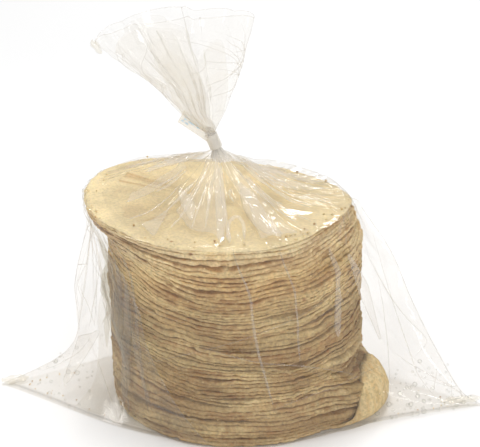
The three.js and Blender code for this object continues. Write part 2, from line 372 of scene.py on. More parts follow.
def turn_between(a, b):
    """The shortest turn from one angle to another."""
    return np.arctan2(np.sin(b - a), np.cos(b - a))


def window(off, half_width):
    """1 where off is 0, and 0 from half_width on either side."""
    return eased(np.clip(1 - np.abs(off) / half_width, 0, 1))


def hashed(cells, seed):
    """A repeatable draw between -1 and 1 for each whole-number cell."""
    n = cells @ np.array([127.1, 311.7, 74.7]) + 19.19 * seed
    s = np.sin(n) * 43758.5453
    return 2 * (s - np.floor(s)) - 1


def noise(points, size, seed):
    """Smooth noise between -1 and 1 that varies over a length of size."""
    scaled = points / size
    cell = np.floor(scaled)
    t = eased(scaled - cell)
    total = np.zeros(points.shape[:-1])
    for corner in np.ndindex(2, 2, 2):
        share = np.prod(np.where(np.array(corner) == 1, t, 1 - t), axis=-1)
        total += share * hashed(cell + corner, seed)
    return total


def crumple(points, size, seed):
    """Flat-sided waves in drawn directions, between about -1 and 1: facets that meet in sharp creases."""
    draws = np.random.default_rng(seed)
    bend = 0.3 * noise(points, 2.2 * size, seed)
    total = np.zeros(points.shape[:-1])
    for _ in range(CRUMPLE_FOLDS):
        direction = draws.normal(size=3)
        direction /= np.linalg.norm(direction)
        wave = points @ direction / (size * draws.uniform(0.7, 1.6)) + draws.uniform() + bend
        total += np.abs(2 * (wave % 1) - 1) - 0.5
    return total / math.sqrt(CRUMPLE_FOLDS) * 1.4


def curve_at(points, share):
    """A centripetal Catmull-Rom curve through the points, at shares between 0 and 1."""
    p = np.array(points, float)
    p = np.vstack([2 * p[0] - p[1], p, 2 * p[-1] - p[-2]])
    spans = len(points) - 1
    place = np.clip(np.asarray(share, float), 0, 1) * spans
    span = np.minimum(place.astype(int), spans - 1)
    t = (place - span)[..., None]
    p0, p1, p2, p3 = p[span], p[span + 1], p[span + 2], p[span + 3]
    d0, d1, d2 = (np.linalg.norm(b - a, axis=-1)[..., None] ** 0.5 for a, b in ((p0, p1), (p1, p2), (p2, p3)))
    start = ((p1 - p0) / d0 - (p2 - p0) / (d0 + d1) + (p2 - p1) / d1) * d1
    end = ((p2 - p1) / d1 - (p3 - p1) / (d1 + d2) + (p3 - p2) / d2) * d1
    bend = -3 * p1 + 3 * p2 - 2 * start - end
    return p1 + start * t + bend * t**2 + (2 * p1 - 2 * p2 + start + end) * t**3


# ---- Mesh making ----


def square(half_side, z):
    """The corners of a level square."""
    corners = ((-1, -1), (1, -1), (1, 1), (-1, 1))
    return np.array([(x * half_side, y * half_side, z) for x, y in corners], float)


def grid_faces(rows, columns, closed=True):
    """The quads of a grid whose rows lie one after the other. A closed row joins its end to its start."""
    across = np.arange(columns if closed else columns - 1)
    beside = (across + 1) % columns
    row = np.arange(rows - 1)[:, None] * columns
    quads = np.stack([row + across, row + beside, row + columns + beside, row + columns + across], axis=-1)
    return quads.reshape(-1, 4)


def mesh_object(name, points, faces, material, shades=None):
    """A smooth piece from points in millimetres and faces of three or four corners.

    shades holds named values for the points, which the material reads.
    """
    mesh = bpy.data.meshes.new(name)
    corners = np.concatenate([np.asarray(group).ravel() for group in faces])
    sizes = np.concatenate([np.full(len(group), np.asarray(group).shape[1]) for group in faces])
    mesh.vertices.add(len(points))
    mesh.vertices.foreach_set("co", (np.asarray(points) * MM).astype(np.float32).ravel())
    mesh.loops.add(len(corners))
    mesh.loops.foreach_set("vertex_index", corners.astype(np.int32))
    mesh.polygons.add(len(sizes))
    mesh.polygons.foreach_set("loop_start", (np.cumsum(sizes) - sizes).astype(np.int32))
    mesh.polygons.foreach_set("use_smooth", np.ones(len(sizes), bool))
    for shade, values in (shades or {}).items():
        mesh.attributes.new(shade, "FLOAT", "POINT").data.foreach_set("value", values.astype(np.float32))
    mesh.update(calc_edges=True)
    mesh.validate()
    mesh.materials.append(material)
    piece = bpy.data.objects.new(name, mesh)
    bpy.context.scene.collection.objects.link(piece)
    return piece


def finish_piece(piece, slot, *nodes):
    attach(piece, "root")
    for node in nodes:
        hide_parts(node)


def film_piece(name, grids, material, closed=True):
    """A piece of film from grids of points, whose rows are closed or open."""
    points, quads = [], []
    start = 0
    for grid in grids:
        points.append(grid.reshape(-1, 3))
        quads.append(grid_faces(*grid.shape[:2], closed) + start)
        start += len(points[-1])
    points = np.vstack(points)
    points[:, 2] = np.maximum(points[:, 2], FLOOR_CLEARANCE)
    finish_piece(mesh_object(name, points, [np.vstack(quads)], material), "film", "bag")


# ---- Materials ----


def new_material(name):
    material = bpy.data.materials.new(name)
    material.use_nodes = True
    material.node_tree.nodes.clear()
    return material, material.node_tree


def add_node(tree, kind, inputs=(), **settings):
    """A node with its settings, and its inputs set by name: a number, a colour or another node's output."""
    node = tree.nodes.new(kind)
    for key, value in settings.items():
        setattr(node, key, value)
    for key, value in dict(inputs).items():
        if isinstance(value, bpy.types.NodeSocket):
            tree.links.new(value, node.inputs[key])
        else:
            node.inputs[key].default_value = value
    return node


def ramp(tree, factor, stops):
    """A colour ramp's colour output. stops are (place, colour) pairs."""
    node = add_node(tree, "ShaderNodeValToRGB", {"Fac": factor})
    node.color_ramp.interpolation = "EASE"
    elements = node.color_ramp.elements
    while len(elements) < len(stops):
        elements.new(0.5)
    for element, (place, colour) in zip(elements, stops):
        element.position = place
        element.color = colour
    return node.outputs["Color"]


def grey(value):
    return (value, value, value, 1)


def mix_colour(tree, factor, a, b, blend="MIX"):
    node = add_node(tree, "ShaderNodeMix", data_type="RGBA", blend_type=blend)
    for socket, value in ((node.inputs[0], factor), (node.inputs[6], a), (node.inputs[7], b)):
        if isinstance(value, bpy.types.NodeSocket):
            tree.links.new(value, socket)
        else:
            socket.default_value = value
    return node.outputs[2]


def maths(tree, operation, a, b=0.0, clamp=False):
    node = add_node(tree, "ShaderNodeMath", {0: a, 1: b}, operation=operation, use_clamp=clamp)
    return node.outputs[0]


def object_place(tree):
    return add_node(tree, "ShaderNodeTexCoord").outputs["Object"]


def noise_texture(tree, place, scale, detail=2.0, roughness=0.5):
    inputs = {"Vector": place, "Scale": scale, "Detail": detail, "Roughness": roughness}
    return add_node(tree, "ShaderNodeTexNoise", inputs).outputs[0]


def shade_value(tree, name):
    """The values that a mesh's points hold under a name."""
    return add_node(tree, "ShaderNodeAttribute", attribute_name=name).outputs["Fac"]


def mixed_shader(tree, factor, first, second):
    return add_node(tree, "ShaderNodeMixShader", {0: factor, 1: first.outputs[0], 2: second.outputs[0]})


def finish_material(tree, surface):
    add_node(tree, "ShaderNodeOutputMaterial", {"Surface": surface.outputs[0]})


def film_material(name, tint, edge_tint, haze):
    """Film that lets light through, mirrors the lights, is darker where it is seen edge on, and is hazy."""
    material, tree = new_material(name)
    facing = add_node(tree, "ShaderNodeLayerWeight", {"Blend": 0.5}).outputs["Facing"]
    through = mix_colour(tree, maths(tree, "POWER", facing, 4.0), tint, edge_tint)
    clear = add_node(tree, "ShaderNodeBsdfTransparent", {"Color": through})
    ripple = noise_texture(tree, object_place(tree), 160.0, 3.0)
    bump = add_node(tree, "ShaderNodeBump", {"Height": ripple, "Strength": 0.25, "Distance": 0.0006})
    shine = {"Color": (1, 1, 1, 1), "Roughness": 0.09, "Normal": bump.outputs[0]}
    gloss = add_node(tree, "ShaderNodeBsdfGlossy", shine)
    grazing = maths(tree, "MULTIPLY", maths(tree, "POWER", facing, 4.5), 0.35)
    glossy = mixed_shader(tree, maths(tree, "ADD", grazing, 0.035, clamp=True), clear, gloss)
    front = add_node(tree, "ShaderNodeBsdfDiffuse", {"Color": HAZE_COLOUR})
    back = add_node(tree, "ShaderNodeBsdfTranslucent", {"Color": HAZE_COLOUR})
    finish_material(tree, mixed_shader(tree, haze, glossy, mixed_shader(tree, 0.5, front, back)))
    return material


def tortilla_material():
    """Mealy corn: pale yellow, toasted at edges and in specks, with painted shade that darkens it towards the
    foot of the stack, painted floor light at its very foot, and painted shade in the rims' seams and
    recesses.
    """
    material, tree = new_material("tortilla")
    place = object_place(tree)
    height = add_node(tree, "ShaderNodeSeparateXYZ", {0: place}).outputs["Z"]
    level = maths(tree, "DIVIDE", height, STACK_HEIGHT * MM, clamp=True)
    patches = noise_texture(tree, place, 38.0, 4.0, 0.6)
    patchy = ramp(tree, patches, [(0.3, grey(0.86)), (0.7, grey(1.08))])
    meal = noise_texture(tree, place, 620.0, 5.0, 0.7)
    mealy = ramp(tree, meal, [(0.34, grey(0.76)), (0.62, grey(1.1))])
    grainy = ramp(tree, level, [(0.95, grey(1)), (0.985, grey(0.6))])
    pale = shade_value(tree, "pale")
    # The colour by height paints shade down the stack's side and light bounced from the floor at its foot.
    colour = mix_colour(tree, pale, ramp(tree, level, CORN_WITH_PAINTED_SHADING), PALE_CORN)
    colour = mix_colour(tree, 1.0, colour, patchy, "MULTIPLY")
    colour = mix_colour(tree, grainy, colour, mealy, "MULTIPLY")
    lean = {"Vector": place, "Rotation": (0, STRAND_LEAN, 0), "Scale": (1, 1, 0.12)}
    strands = noise_texture(tree, add_node(tree, "ShaderNodeMapping", lean).outputs[0], 260.0, 3.0)
    layered = ramp(tree, strands, [(0.38, LAYER_TINT), (0.6, grey(1.05))])
    colour = mix_colour(tree, pale, colour, mix_colour(tree, 1.0, colour, layered, "MULTIPLY"))
    colour = mix_colour(tree, shade_value(tree, "toast"), colour, TOASTED)
    # The seam value darkens the rims: partly the joints' own darker corn, and partly painted shade in gaps,
    # in recessed edges and in bands.
    in_seam_and_shade = mix_colour(tree, 1.0, colour, SEAM_AND_SHADE_TINT, "MULTIPLY")
    colour = mix_colour(tree, shade_value(tree, "seam"), colour, in_seam_and_shade)
    grains = add_node(tree, "ShaderNodeTexVoronoi", {"Vector": place, "Scale": 95.0, "Randomness": 1.0})
    pick = ramp(tree, grains.outputs["Color"], [(0.80, grey(0)), (0.84, grey(1))])
    near = ramp(tree, grains.outputs["Distance"], [(0.05, grey(1)), (0.16, grey(0))])
    specks = maths(tree, "MULTIPLY", pick, near)
    colour = mix_colour(tree, maths(tree, "MULTIPLY", specks, 0.75), colour, SPECK)
    relief = maths(tree, "ADD", meal, maths(tree, "MULTIPLY", patches, 0.8))
    bump = add_node(tree, "ShaderNodeBump", {"Height": relief, "Strength": 0.8, "Distance": 0.0012})
    surface = add_node(
        tree,
        "ShaderNodeBsdfPrincipled",
        {
            "Base Color": colour,
            "Roughness": 0.78,
            "Specular IOR Level": 0.25,
            "Subsurface Weight": 0.12,
            "Subsurface Radius": (0.006, 0.004, 0.0015),
            "Subsurface Scale": 0.5,
            "Normal": bump.outputs[0],
        },
    )
    finish_material(tree, surface)
    return material


# ---- The shape of the bag ----


def stack_at(z):
    """The round of tortillas at a height: its centre, radius and sag."""
    top = smoothstep(z, TOP_FROM, STACK_HEIGHT)
    rounding = 1 - smoothstep(z, 0, 8)
    slide = 1 - smoothstep(z, 0, FOOT_SLIDE_TO)
    x = FOOT_SLIDE[0] * slide - TOP_SLIDE * top
    y = FOOT_SLIDE[1] * slide
    radius = TORTILLA_RADIUS + TOP_GROWTH * top - FOOT_ROUNDING * rounding
    return x, y, radius, TOP_SAG * top


def section_angles(right, left):
    """The angles of the film's columns. They crowd towards the two side edges, whose directions are given."""
    crowd = 0.6
    even = 2 * np.pi * np.arange(FILM_COLUMNS) / FILM_COLUMNS
    angle = even - crowd / 2 * np.sin(2 * even)
    towards_right = (1 + np.cos(even)) / 2
    return angle + right * towards_right + turn_between(np.pi, left) * (1 - towards_right)


def body_grid(shares):
    """The film round the stack at each share of its height, with how far each point is out on a wing."""
    share = np.asarray(shares, float)[:, None]
    z = STACK_HEIGHT * share
    x0, y0, radius, sag = stack_at(z)
    edges = []
    for points, spread in ((RIGHT_EDGE, 0 * share), (LEFT_EDGE, 1 - smoothstep(share, 0, EAR_RISE))):
        edge = curve_at(points, share[:, 0])
        dx = edge[:, :1] - x0
        dy = edge[:, 1:2] - y0
        tangent = np.arccos(np.minimum(1, radius / np.hypot(dx, dy)))
        pinch = PANEL_PINCH * (1 - spread)
        edges.append((np.arctan2(dy, dx), tangent, edge[:, 2:], pinch, EAR_SPREAD * spread))
    angle = section_angles(edges[0][0], edges[1][0])
    reach = radius + 0 * angle
    height = z - sag * np.maximum(0, np.cos(angle - TOP_SAG_AT))
    wing = 0 * angle
    for towards, tangent, edge_z, pinch, spread in edges:
        away = np.abs(turn_between(angle, towards))
        near = np.clip(1 - away / np.maximum(tangent, 1e-6), 0, 1)
        taut = radius / np.cos(np.clip(tangent - away, 0, None))
        out = taut + (spread - (taut - radius) * pinch) * np.sin(np.pi * near)
        reach = np.where(near > 0, out, reach)
        height = lerp(height, edge_z, near**2)
        wing = np.maximum(wing, near)
    points = np.stack([x0 + reach * np.cos(angle), y0 + reach * np.sin(angle), height], axis=-1)
    return points, wing


def outward(points):
    """The unit normals of a closed grid of points, facing away from the stack."""
    along = np.roll(points, -1, axis=1) - np.roll(points, 1, axis=1)
    up = np.gradient(points, axis=0)
    normal = np.cross(along, up)
    return normal / np.maximum(np.linalg.norm(normal, axis=-1, keepdims=True), 1e-9)


# ---- The tortillas ----


def ring_angles(samples):
    return 2 * np.pi * np.arange(samples) / samples


def round_points(angles, level):
    """Points on the neat stack's side, where patterns are read."""
    x, y = TORTILLA_RADIUS * np.cos(angles), TORTILLA_RADIUS * np.sin(angles)
    return np.stack([x, y, np.full_like(angles, level)], axis=-1)


def bundle_numbers():
    """The bundle that each tortilla sticks to: one to four lie together."""
    draws = np.random.default_rng(5)
    numbers = []
    while len(numbers) < TORTILLAS:
        numbers += [numbers[-1] + 1 if numbers else 0] * draws.choice(BUNDLE_SIZES)
    return numbers[: TORTILLAS - 1] + [numbers[-1] + 1]


def layer_shares(angles, bundles):
    """The bottom and top of each tortilla's edge, as shares of the stack's height, for each angle."""
    thickness = []
    gaps = []
    plump = np.random.default_rng(6).choice(PLUMPNESS, TORTILLAS)
    for k in range(TORTILLAS):
        level = (k + 0.5) / TORTILLAS * STACK_HEIGHT
        spots = round_points(angles, 14 * k)
        body = plump[k] + 0.26 * noise(spots, 40, 1) + 0.08 * noise(spots, 11, 2)
        parted = k + 1 < TORTILLAS and bundles[k] != bundles[k + 1]
        gap = GAP_WITHIN
        if parted:
            gap = GAP_BETWEEN * (0.6 + 1.5 * noise(spots, 26, 3) + 0.6 * noise(spots, 7, 4))
        for height, middle, half, width in WIDE_GAPS:
            beside = window(np.degrees(turn_between(angles, math.radians(middle))), half)
            gap = gap + width * beside * (abs(level - height) < 0.5 * STACK_HEIGHT / TORTILLAS)
        thickness.append(np.maximum(body, 0.4))
        gaps.append(np.maximum(gap, 0.015) + 0 * angles)
    thickness = np.array(thickness)
    gaps = np.array(gaps)
    gaps[0] = 0.01
    tops = np.cumsum(thickness + gaps, axis=0)
    total = tops[-1]
    return (tops - thickness) / total, tops / total


def flank_rise(angle, z):
    """How far a tortilla's rim stands higher on the left and right flanks than at the front."""
    left = np.degrees(np.mod(-np.pi / 2 - angle, 2 * np.pi))
    right = np.degrees(np.mod(angle + np.pi / 2, 2 * np.pi))
    on_left = smoothstep(left, 24, 56) * (1 - smoothstep(left, 105, 165))
    on_right = smoothstep(right, 26, 60) * (1 - smoothstep(right, 95, 150))
    left_share = smoothstep(z, 6, 34) * (1 - 0.6 * smoothstep(z, 94, 119))
    right_share = smoothstep(z, 26, 58) * (1 - 0.75 * smoothstep(z, 96, 119))
    return LEFT_RISE * on_left * left_share + RIGHT_RISE * on_right * right_share


def back_raised(points):
    """Raises points of the stack, or of the film over it, where its back left stands higher."""
    raised = points.copy()
    off = turn_between(np.arctan2(points[..., 1], points[..., 0]), BACK_RISE_AT)
    rim = np.clip(np.hypot(points[..., 0], points[..., 1]) / TORTILLA_RADIUS, 0, 1.05)
    high = smoothstep(points[..., 2], BACK_RISE_FROM, STACK_HEIGHT - 4)
    raised[..., 2] += BACK_RISE * window(off, BACK_RISE_HALF_WIDTH) * high * rim**3
    return raised


def warp_stack(points):
    """Moves points of the neat stack to where the real one has slid, sagged and bulged."""
    x, y, z = points[..., 0], points[..., 1], points[..., 2]
    angle = np.arctan2(y, x)
    rim = np.clip(np.hypot(x, y) / TORTILLA_RADIUS, 0, 1.3)
    x0, y0, radius, sag = stack_at(z)
    corner = window(turn_between(angle, CORNER_AT), CORNER_HALF_WIDTH) * smoothstep(z, 92, 114)
    left = window(turn_between(angle, np.pi), LEFT_LIP_HALF_WIDTH) * smoothstep(z, 98, 118)
    grow = (radius + (LEFT_LIP_REACH * left - CORNER_INSET * corner) * rim**2) / TORTILLA_RADIUS
    broad = round_points(angle, 0)
    broad[..., 2] = z
    waves = 1.6 * noise(broad, 55, 11) + 0.55 * noise(broad * np.array([1, 1, 1.3]), 24, 12)
    waves += 0.15 * noise(broad * np.array([1, 1, 2.5]), 9, 13)
    waves += RUFFLE * window(turn_between(angle, RUFFLE_AT), RUFFLE_HALF_WIDTH) * noise(broad, 5, 14)
    free = smoothstep(z, 0, 14) * (1 - smoothstep(z, 112, 121))
    drop = sag * np.maximum(0, np.cos(angle - TOP_SAG_AT)) * rim**2
    height = z + free * waves * rim**3 + flank_rise(angle, z) * rim**4 - drop
    return back_raised(np.stack([x0 + x * grow, y0 + y * grow, height], axis=-1))


def curl_at(angles):
    """How far the lowest tortilla is curled up at each angle, between 0 and 1."""
    off = turn_between(CURL_AT, angles)
    softness = np.where(off < 0, CURL_SOFTNESS_FRONT, CURL_SOFTNESS)
    return smoothstep((CURL_HALF_WIDTH - np.abs(off)) / softness, 0, 1)


def curl_up(points, k, share):
    """The lowest tortilla sticks out at the front right and curls up round those above, which fill the curl.

    share is how far out on the tortilla the points lie.
    """
    x, y, z = points[..., 0], points[..., 1], points[..., 2]
    angle = np.arctan2(y, x)
    reach = np.hypot(x, y)
    curled = curl_at(angle)
    if k >= CURLED:
        curve = np.array([*CURL_SECTION[2:], (TORTILLA_RADIUS + CURL_GAP, CURL_FILL_TO)])
        fill = np.interp(z, curve[:, 1], curve[:, 0]) - TORTILLA_RADIUS - CURL_GAP
        out = reach + curled * smoothstep(share, 0.8, 1) * np.maximum(fill, 0)
        return np.stack([out * np.cos(angle), out * np.sin(angle), z], axis=-1)
    along = curled * np.clip((share - CURL_START) / (1 - CURL_START), 0, 1)
    place = curve_at(CURL_SECTION, along)
    ahead = curve_at(CURL_SECTION, along + 0.02) - curve_at(CURL_SECTION, along - 0.02)
    inward = np.stack([-ahead[..., 1], ahead[..., 0]], axis=-1)
    inward /= np.maximum(np.linalg.norm(inward, axis=-1, keepdims=True), 1e-6)
    place = place + inward * z[..., None]
    blend = curled * (share > CURL_START)
    out = lerp(reach, place[..., 0], blend)
    return np.stack([out * np.cos(angle), out * np.sin(angle), lerp(z, place[..., 1], blend)], axis=-1)


def edge_lips(angles, bundles, draws):
    """Where rims stick out and droop: how far out and how far down, for each tortilla and angle."""
    out = np.zeros((TORTILLAS, len(angles)))
    down = np.zeros((TORTILLAS, len(angles)))
    numbers = np.array(bundles)
    for turn in range(LIPS):
        middle = draws.uniform(-np.pi, np.pi)
        half = math.radians(draws.uniform(8, 30))
        lip = window(turn_between(angles, middle), half)
        first = draws.integers(3, TORTILLAS - 3)
        alone = turn % 3 == 0
        rows = [first] if alone else np.flatnonzero(numbers == numbers[first])
        sticks_out = draws.uniform(0.3, 1.0)
        droops = draws.uniform(1.2, 3.4) if alone else draws.uniform(0.3, 1.4)
        out[rows] = np.maximum(out[rows], sticks_out * lip)
        down[rows] = np.maximum(down[rows], droops * lip)
    return out, down


def profile_of(k):
    """A tortilla's section: shares of its radius, and of its thickness above its bottom."""
    over = [(0.955, 1), (0.993, 0.985), (0.999, 0.88), (1.0, 0.5)]
    if k < CURLED:
        over = [(0.95, 1)] + [(share, 1) for share in np.linspace(0.962, 0.996, 7)] + [(1.0, 0.5)]
    under = [(r, 1 - h) for r, h in reversed(over[:-1])]
    return over + under


def edge_reach(angles, k, bundle):
    """How far out a tortilla's edge lies: its bundle has strayed off the middle, and the edge is ragged."""
    together = round_points(angles, 41.0 * bundle)
    alone = round_points(angles, 9.0 * k)
    draws = np.random.default_rng(100 + bundle)
    stray_x, stray_y = draws.normal(size=2) * STRAY
    ragged = RAGGED * (noise(together, 22, 21) + 0.5 * noise(alone, 9, 22))
    crumbly = CRUMBLE * (noise(alone, 3.4, 23) + 0.9 * noise(alone, 1.5, 27))
    torn = CRUMBLE * 2.2 * smoothstep(noise(alone, 6, 28), 0.35, 0.75)
    edge = TORTILLA_RADIUS - EDGE_INSET + ragged + crumbly - torn
    return edge + stray_x * np.cos(angles) + stray_y * np.sin(angles)


def recess_shade(edges):
    """How far each edge lies behind its neighbours', between 0 and 1, which sets how much painted shade it
    gets.
    """
    padded = np.pad(edges, ((2, 2), (0, 0)), mode="edge")
    around = (padded[:-4] + padded[1:-3] + padded[3:-1] + padded[4:]) / 4
    return np.clip((around - edges) / RECESS_SHADE_DEPTH, 0, 1)


def tortilla_rings(k, edge, bottoms, tops, lip_down, behind):
    """The rings of one tortilla from its top round its edge to its bottom, with their points' shades."""
    angles = ring_angles(len(tops))
    spots = round_points(angles, 9.0 * k)
    mean_top, mean_bottom = tops.mean(), bottoms.mean()
    crust = max(0.15, 0.55 + 0.45 * hashed(np.array([k, 0, 0]), 26))
    dark = np.clip(0.25 + 0.9 * noise(spots, 19, 29) + 0.8 * noise(spots, 3.4, 30), 0, 1)
    # Broad bands of painted shade over the rims, standing for bundles of rims in shadow.
    painted_shade_bands = 0.45 * np.clip(0.3 + 1.2 * noise(spots, 30, 34), 0, 1)
    # Paler bands on the rims: partly the corn's own paler tone, and partly painted light on rims that stand
    # out.
    light = 0.5 * np.clip(1.4 * noise(spots, 26, 35) + 0.5 * noise(spots, 3, 36), 0, 1)
    crumbs = np.maximum(0, noise(spots, 1.7, 31)) * (0.6 + noise(spots, 9, 32))
    spotted = 0.1 + 0.8 * noise(spots, 17, 24) + 0.7 * noise(spots, 2.2, 25)
    curled = curl_at(angles) * (k < CURLED)
    rings = []
    shades = {"toast": [], "seam": [], "pale": []}
    for share, level in profile_of(k):
        inward = 1 - smoothstep(share, 0.5, 0.95)
        top = lerp(tops, mean_top, inward)
        bottom = lerp(bottoms, mean_bottom, inward)
        z = lerp(bottom, top, level) * NEAT_HEIGHT
        rim = smoothstep(share, 0.975, 0.995)
        z = z - lip_down * smoothstep(share, 0.93, 1.0) ** 1.5
        z = z + 0.6 * rim * CRUMBLE * noise(spots, 1.6, 33 + 9 * level)
        reach = edge * share + rim * CRUMBLE * (crumbs + 0.8 * noise(spots, 1.3, 43 + 9 * level))
        ring = np.stack([reach * np.cos(angles), reach * np.sin(angles), np.maximum(z, 0.15)], axis=-1)
        ring = warp_stack(curl_up(ring, k, share))
        ring[..., 2] = np.maximum(ring[..., 2], 0.15 + 0.2 * level)
        rings.append(ring)
        browned = crust * rim * (0.5 + 0.5 * level) * spotted
        # Painted shade where the rims meet, at the top and bottom of each edge, over the joints' own darker
        # corn; recessed edges and the bands of painted shade add to it.
        between = smoothstep(abs(level - 0.5), 0.3, 0.5) * lerp(0.7, 1, smoothstep(mean_top, 0.72, 0.86))
        shades["toast"].append(np.clip(browned, 0, 0.5) * (1 - curled))
        shades["seam"].append(np.clip(between * dark + 0.3 * behind + painted_shade_bands, 0, 1) * (1 - 0.8 * curled))
        shades["pale"].append(np.maximum(0.8 * curled * (1 - level), light * rim))
    return rings, shades


def closed_rings(rings):
    """Points and faces of a closed body: its rings, and a fan of triangles into the middle at both ends."""
    columns = len(rings[0])
    ends = [rings[0].mean(axis=0), rings[-1].mean(axis=0)]
    points = np.vstack([*rings, *ends])
    across = np.arange(columns)
    beside = (across + 1) % columns
    last = (len(rings) - 1) * columns
    first_end, last_end = len(points) - 2, len(points) - 1
    start_fan = np.stack([beside, across, np.full(columns, first_end)], axis=-1)
    end_fan = np.stack([last + across, last + beside, np.full(columns, last_end)], axis=-1)
    return points, grid_faces(len(rings), columns), np.vstack([start_fan, end_fan])


def joined(bodies):
    """Several bodies of points, quads and triangles as one."""
    points, quads, triangles = [], [], []
    start = 0
    for body_points, body_quads, body_triangles in bodies:
        points.append(body_points)
        quads.append(body_quads + start)
        triangles.append(body_triangles + start)
        start += len(body_points)
    return np.vstack(points), np.vstack(quads), np.vstack(triangles)


def stack_pieces(material):
    """All tortillas but the top one, as four pieces."""
    angles = ring_angles(TORTILLA_SAMPLES)
    bundles = bundle_numbers()
    bottoms, tops = layer_shares(angles, bundles)
    lip_out, lip_down = edge_lips(angles, bundles, np.random.default_rng(7))
    edges = np.array([edge_reach(angles, k, bundles[k]) for k in range(TORTILLAS)]) + lip_out
    behind = recess_shade(edges)
    reached = []
    limits = [0, *TORTILLA_PIECES, TORTILLAS - 1]
    for number, (first, last) in enumerate(zip(limits, limits[1:])):
        bodies = []
        columns = {"toast": [], "seam": [], "pale": []}
        for k in range(first, last):
            rings, shades = tortilla_rings(k, edges[k], bottoms[k], tops[k], lip_down[k], behind[k])
            bodies.append(closed_rings([ring[::-1] for ring in rings]))
            for shade, values in shades.items():
                columns[shade] += [value[::-1] for value in values] + [np.zeros(2)]
        points, quads, triangles = joined(bodies)
        reached.append(points)
        shades = {shade: np.concatenate(values) for shade, values in columns.items()}
        piece = mesh_object(f"tortillas_{number + 1}", points, [quads, triangles], material, shades)
        finish_piece(piece, "tortilla", "bag")
    return np.vstack(reached)


def top_tortilla(material):
    """The top tortilla, with its face in full detail."""
    angles = ring_angles(TOP_SAMPLES)
    bottoms, _ = layer_shares(angles, bundle_numbers())
    bottom = bottoms[-1] * NEAT_HEIGHT
    spots = round_points(angles, 9.0 * TORTILLAS)
    edge = TORTILLA_RADIUS - 0.9 + 0.8 * RAGGED * noise(spots, 18, 21) + CRUMBLE * noise(spots, 4, 22)
    edge = edge + 0.5 * CRUMBLE * noise(spots, 2, 23)
    rings = []
    for share in np.concatenate([np.linspace(0.02, 0.96, 44), [0.975, 0.988, 0.997, 1.0]]):
        reach = edge * share
        flat = np.stack([reach * np.cos(angles), reach * np.sin(angles), 0 * reach], axis=-1)
        bumps = 0.7 * noise(flat, 31, 31) + 0.45 * noise(flat, 12, 32) + 0.16 * noise(flat, 4.5, 33)
        rounding = 1.3 * smoothstep(share, 0.96, 1.0) ** 2
        flat[..., 2] = STACK_HEIGHT - 1.6 + bumps * (1 - 0.5 * share) - rounding
        rings.append(flat)
    for share in (0.99, 0.94, 0.5):
        flat = np.stack([edge * share * np.cos(angles), edge * share * np.sin(angles), bottom], axis=-1)
        rings.append(flat)
    rings = [warp_stack(ring) for ring in rings]
    points, quads, triangles = closed_rings([ring[::-1] for ring in rings])
    piece = mesh_object("tortilla_top", points, [quads, triangles], material)
    finish_piece(piece, "tortilla", "bag")


# ---- The film ----


def reach_map(points):
    """How far out from the stack's middle its tortillas reach, for steps of height and of angle."""
    x0, y0, _, _ = stack_at(points[:, 2])
    angle = np.arctan2(points[:, 1] - y0, points[:, 0] - x0)
    column = np.round(angle / (2 * np.pi) * REACH_COLUMNS).astype(int) % REACH_COLUMNS
    row = np.clip(np.round(points[:, 2] / REACH_STEP).astype(int), 0, REACH_ROWS - 1)
    reach = np.full((REACH_ROWS, REACH_COLUMNS), TORTILLA_RADIUS - 4.0)
    np.maximum.at(reach, (row, column), np.hypot(points[:, 0] - x0, points[:, 1] - y0))
    padded = np.pad(reach, ((1, 1), (0, 0)), mode="edge")
    reach = np.maximum.reduce([padded[:-2], padded[1:-1], padded[2:]])
    reach = np.maximum.reduce([np.roll(reach, 1, 1), reach, np.roll(reach, -1, 1)])
    for _ in range(2):
        padded = np.pad(reach, ((1, 1), (0, 0)), mode="edge")
        reach = (padded[:-2] + 2 * padded[1:-1] + padded[2:]) / 4
        reach = (np.roll(reach, 1, 1) + 2 * reach + np.roll(reach, -1, 1)) / 4
    return reach


def reach_at(reach, points):
    """The map's reach at each point, and the point's own distance from the stack's middle."""
    x0, y0, _, _ = stack_at(points[..., 2])
    dx, dy = points[..., 0] - x0, points[..., 1] - y0
    place = np.arctan2(dy, dx) / (2 * np.pi) * REACH_COLUMNS
    level = np.clip(points[..., 2] / REACH_STEP, 0, REACH_ROWS - 1.001)
    column, row = np.floor(place).astype(int), level.astype(int)
    t, u = place - column, level - row
    first, second = column % REACH_COLUMNS, (column + 1) % REACH_COLUMNS
    low = lerp(reach[row, first], reach[row, second], t)
    high = lerp(reach[row + 1, first], reach[row + 1, second], t)
    return lerp(low, high, u), np.hypot(dx, dy)


def clear_of_stack(points, reach):
    """Pushes film points that lie inside the tortillas' reach out of it."""
    needed, own = reach_at(reach, points)
    x0, y0, _, _ = stack_at(points[..., 2])
    beside = points[..., 2] < STACK_HEIGHT + 0.5
    grow = np.where(beside, np.maximum(1, (needed + FILM_CLEARANCE) / np.maximum(own, 1)), 1)
    moved = points.copy()
    moved[..., 0] = x0 + (points[..., 0] - x0) * grow
    moved[..., 1] = y0 + (points[..., 1] - y0) * grow
    return moved


def body_rings(reach):
    """The film round the stack, with its two wings, from the bottom seam to the rim."""
    points, wing = body_grid(np.concatenate([[0], np.linspace(0.012, 1, BODY_ROWS - 1)]))
    normal = outward(points)
    free = smoothstep(wing, 0.05, 0.4)
    on_left = points[..., 0] < 0
    folds = np.where(on_left, 3.2, 1.1) * crumple(points * np.array([1, 1, 0.6]), 40, 41)
    folds += np.where(on_left, 0.5, 0.2) * crumple(points, 13, 42)
    tight = 0.35 * (1 + crumple(points * np.array([1, 1, 0.3]), 17, 43))
    calm = 1 - 0.75 * smoothstep(wing, 0.75, 1.0)
    lift = (free * folds * calm + (1 - free) * tight) * smoothstep(points[..., 2], 0, 7)
    points = clear_of_stack(points + normal * lift[..., None], reach)
    points[..., 2] = np.maximum(points[..., 2], FILM_FOOT)
    return points


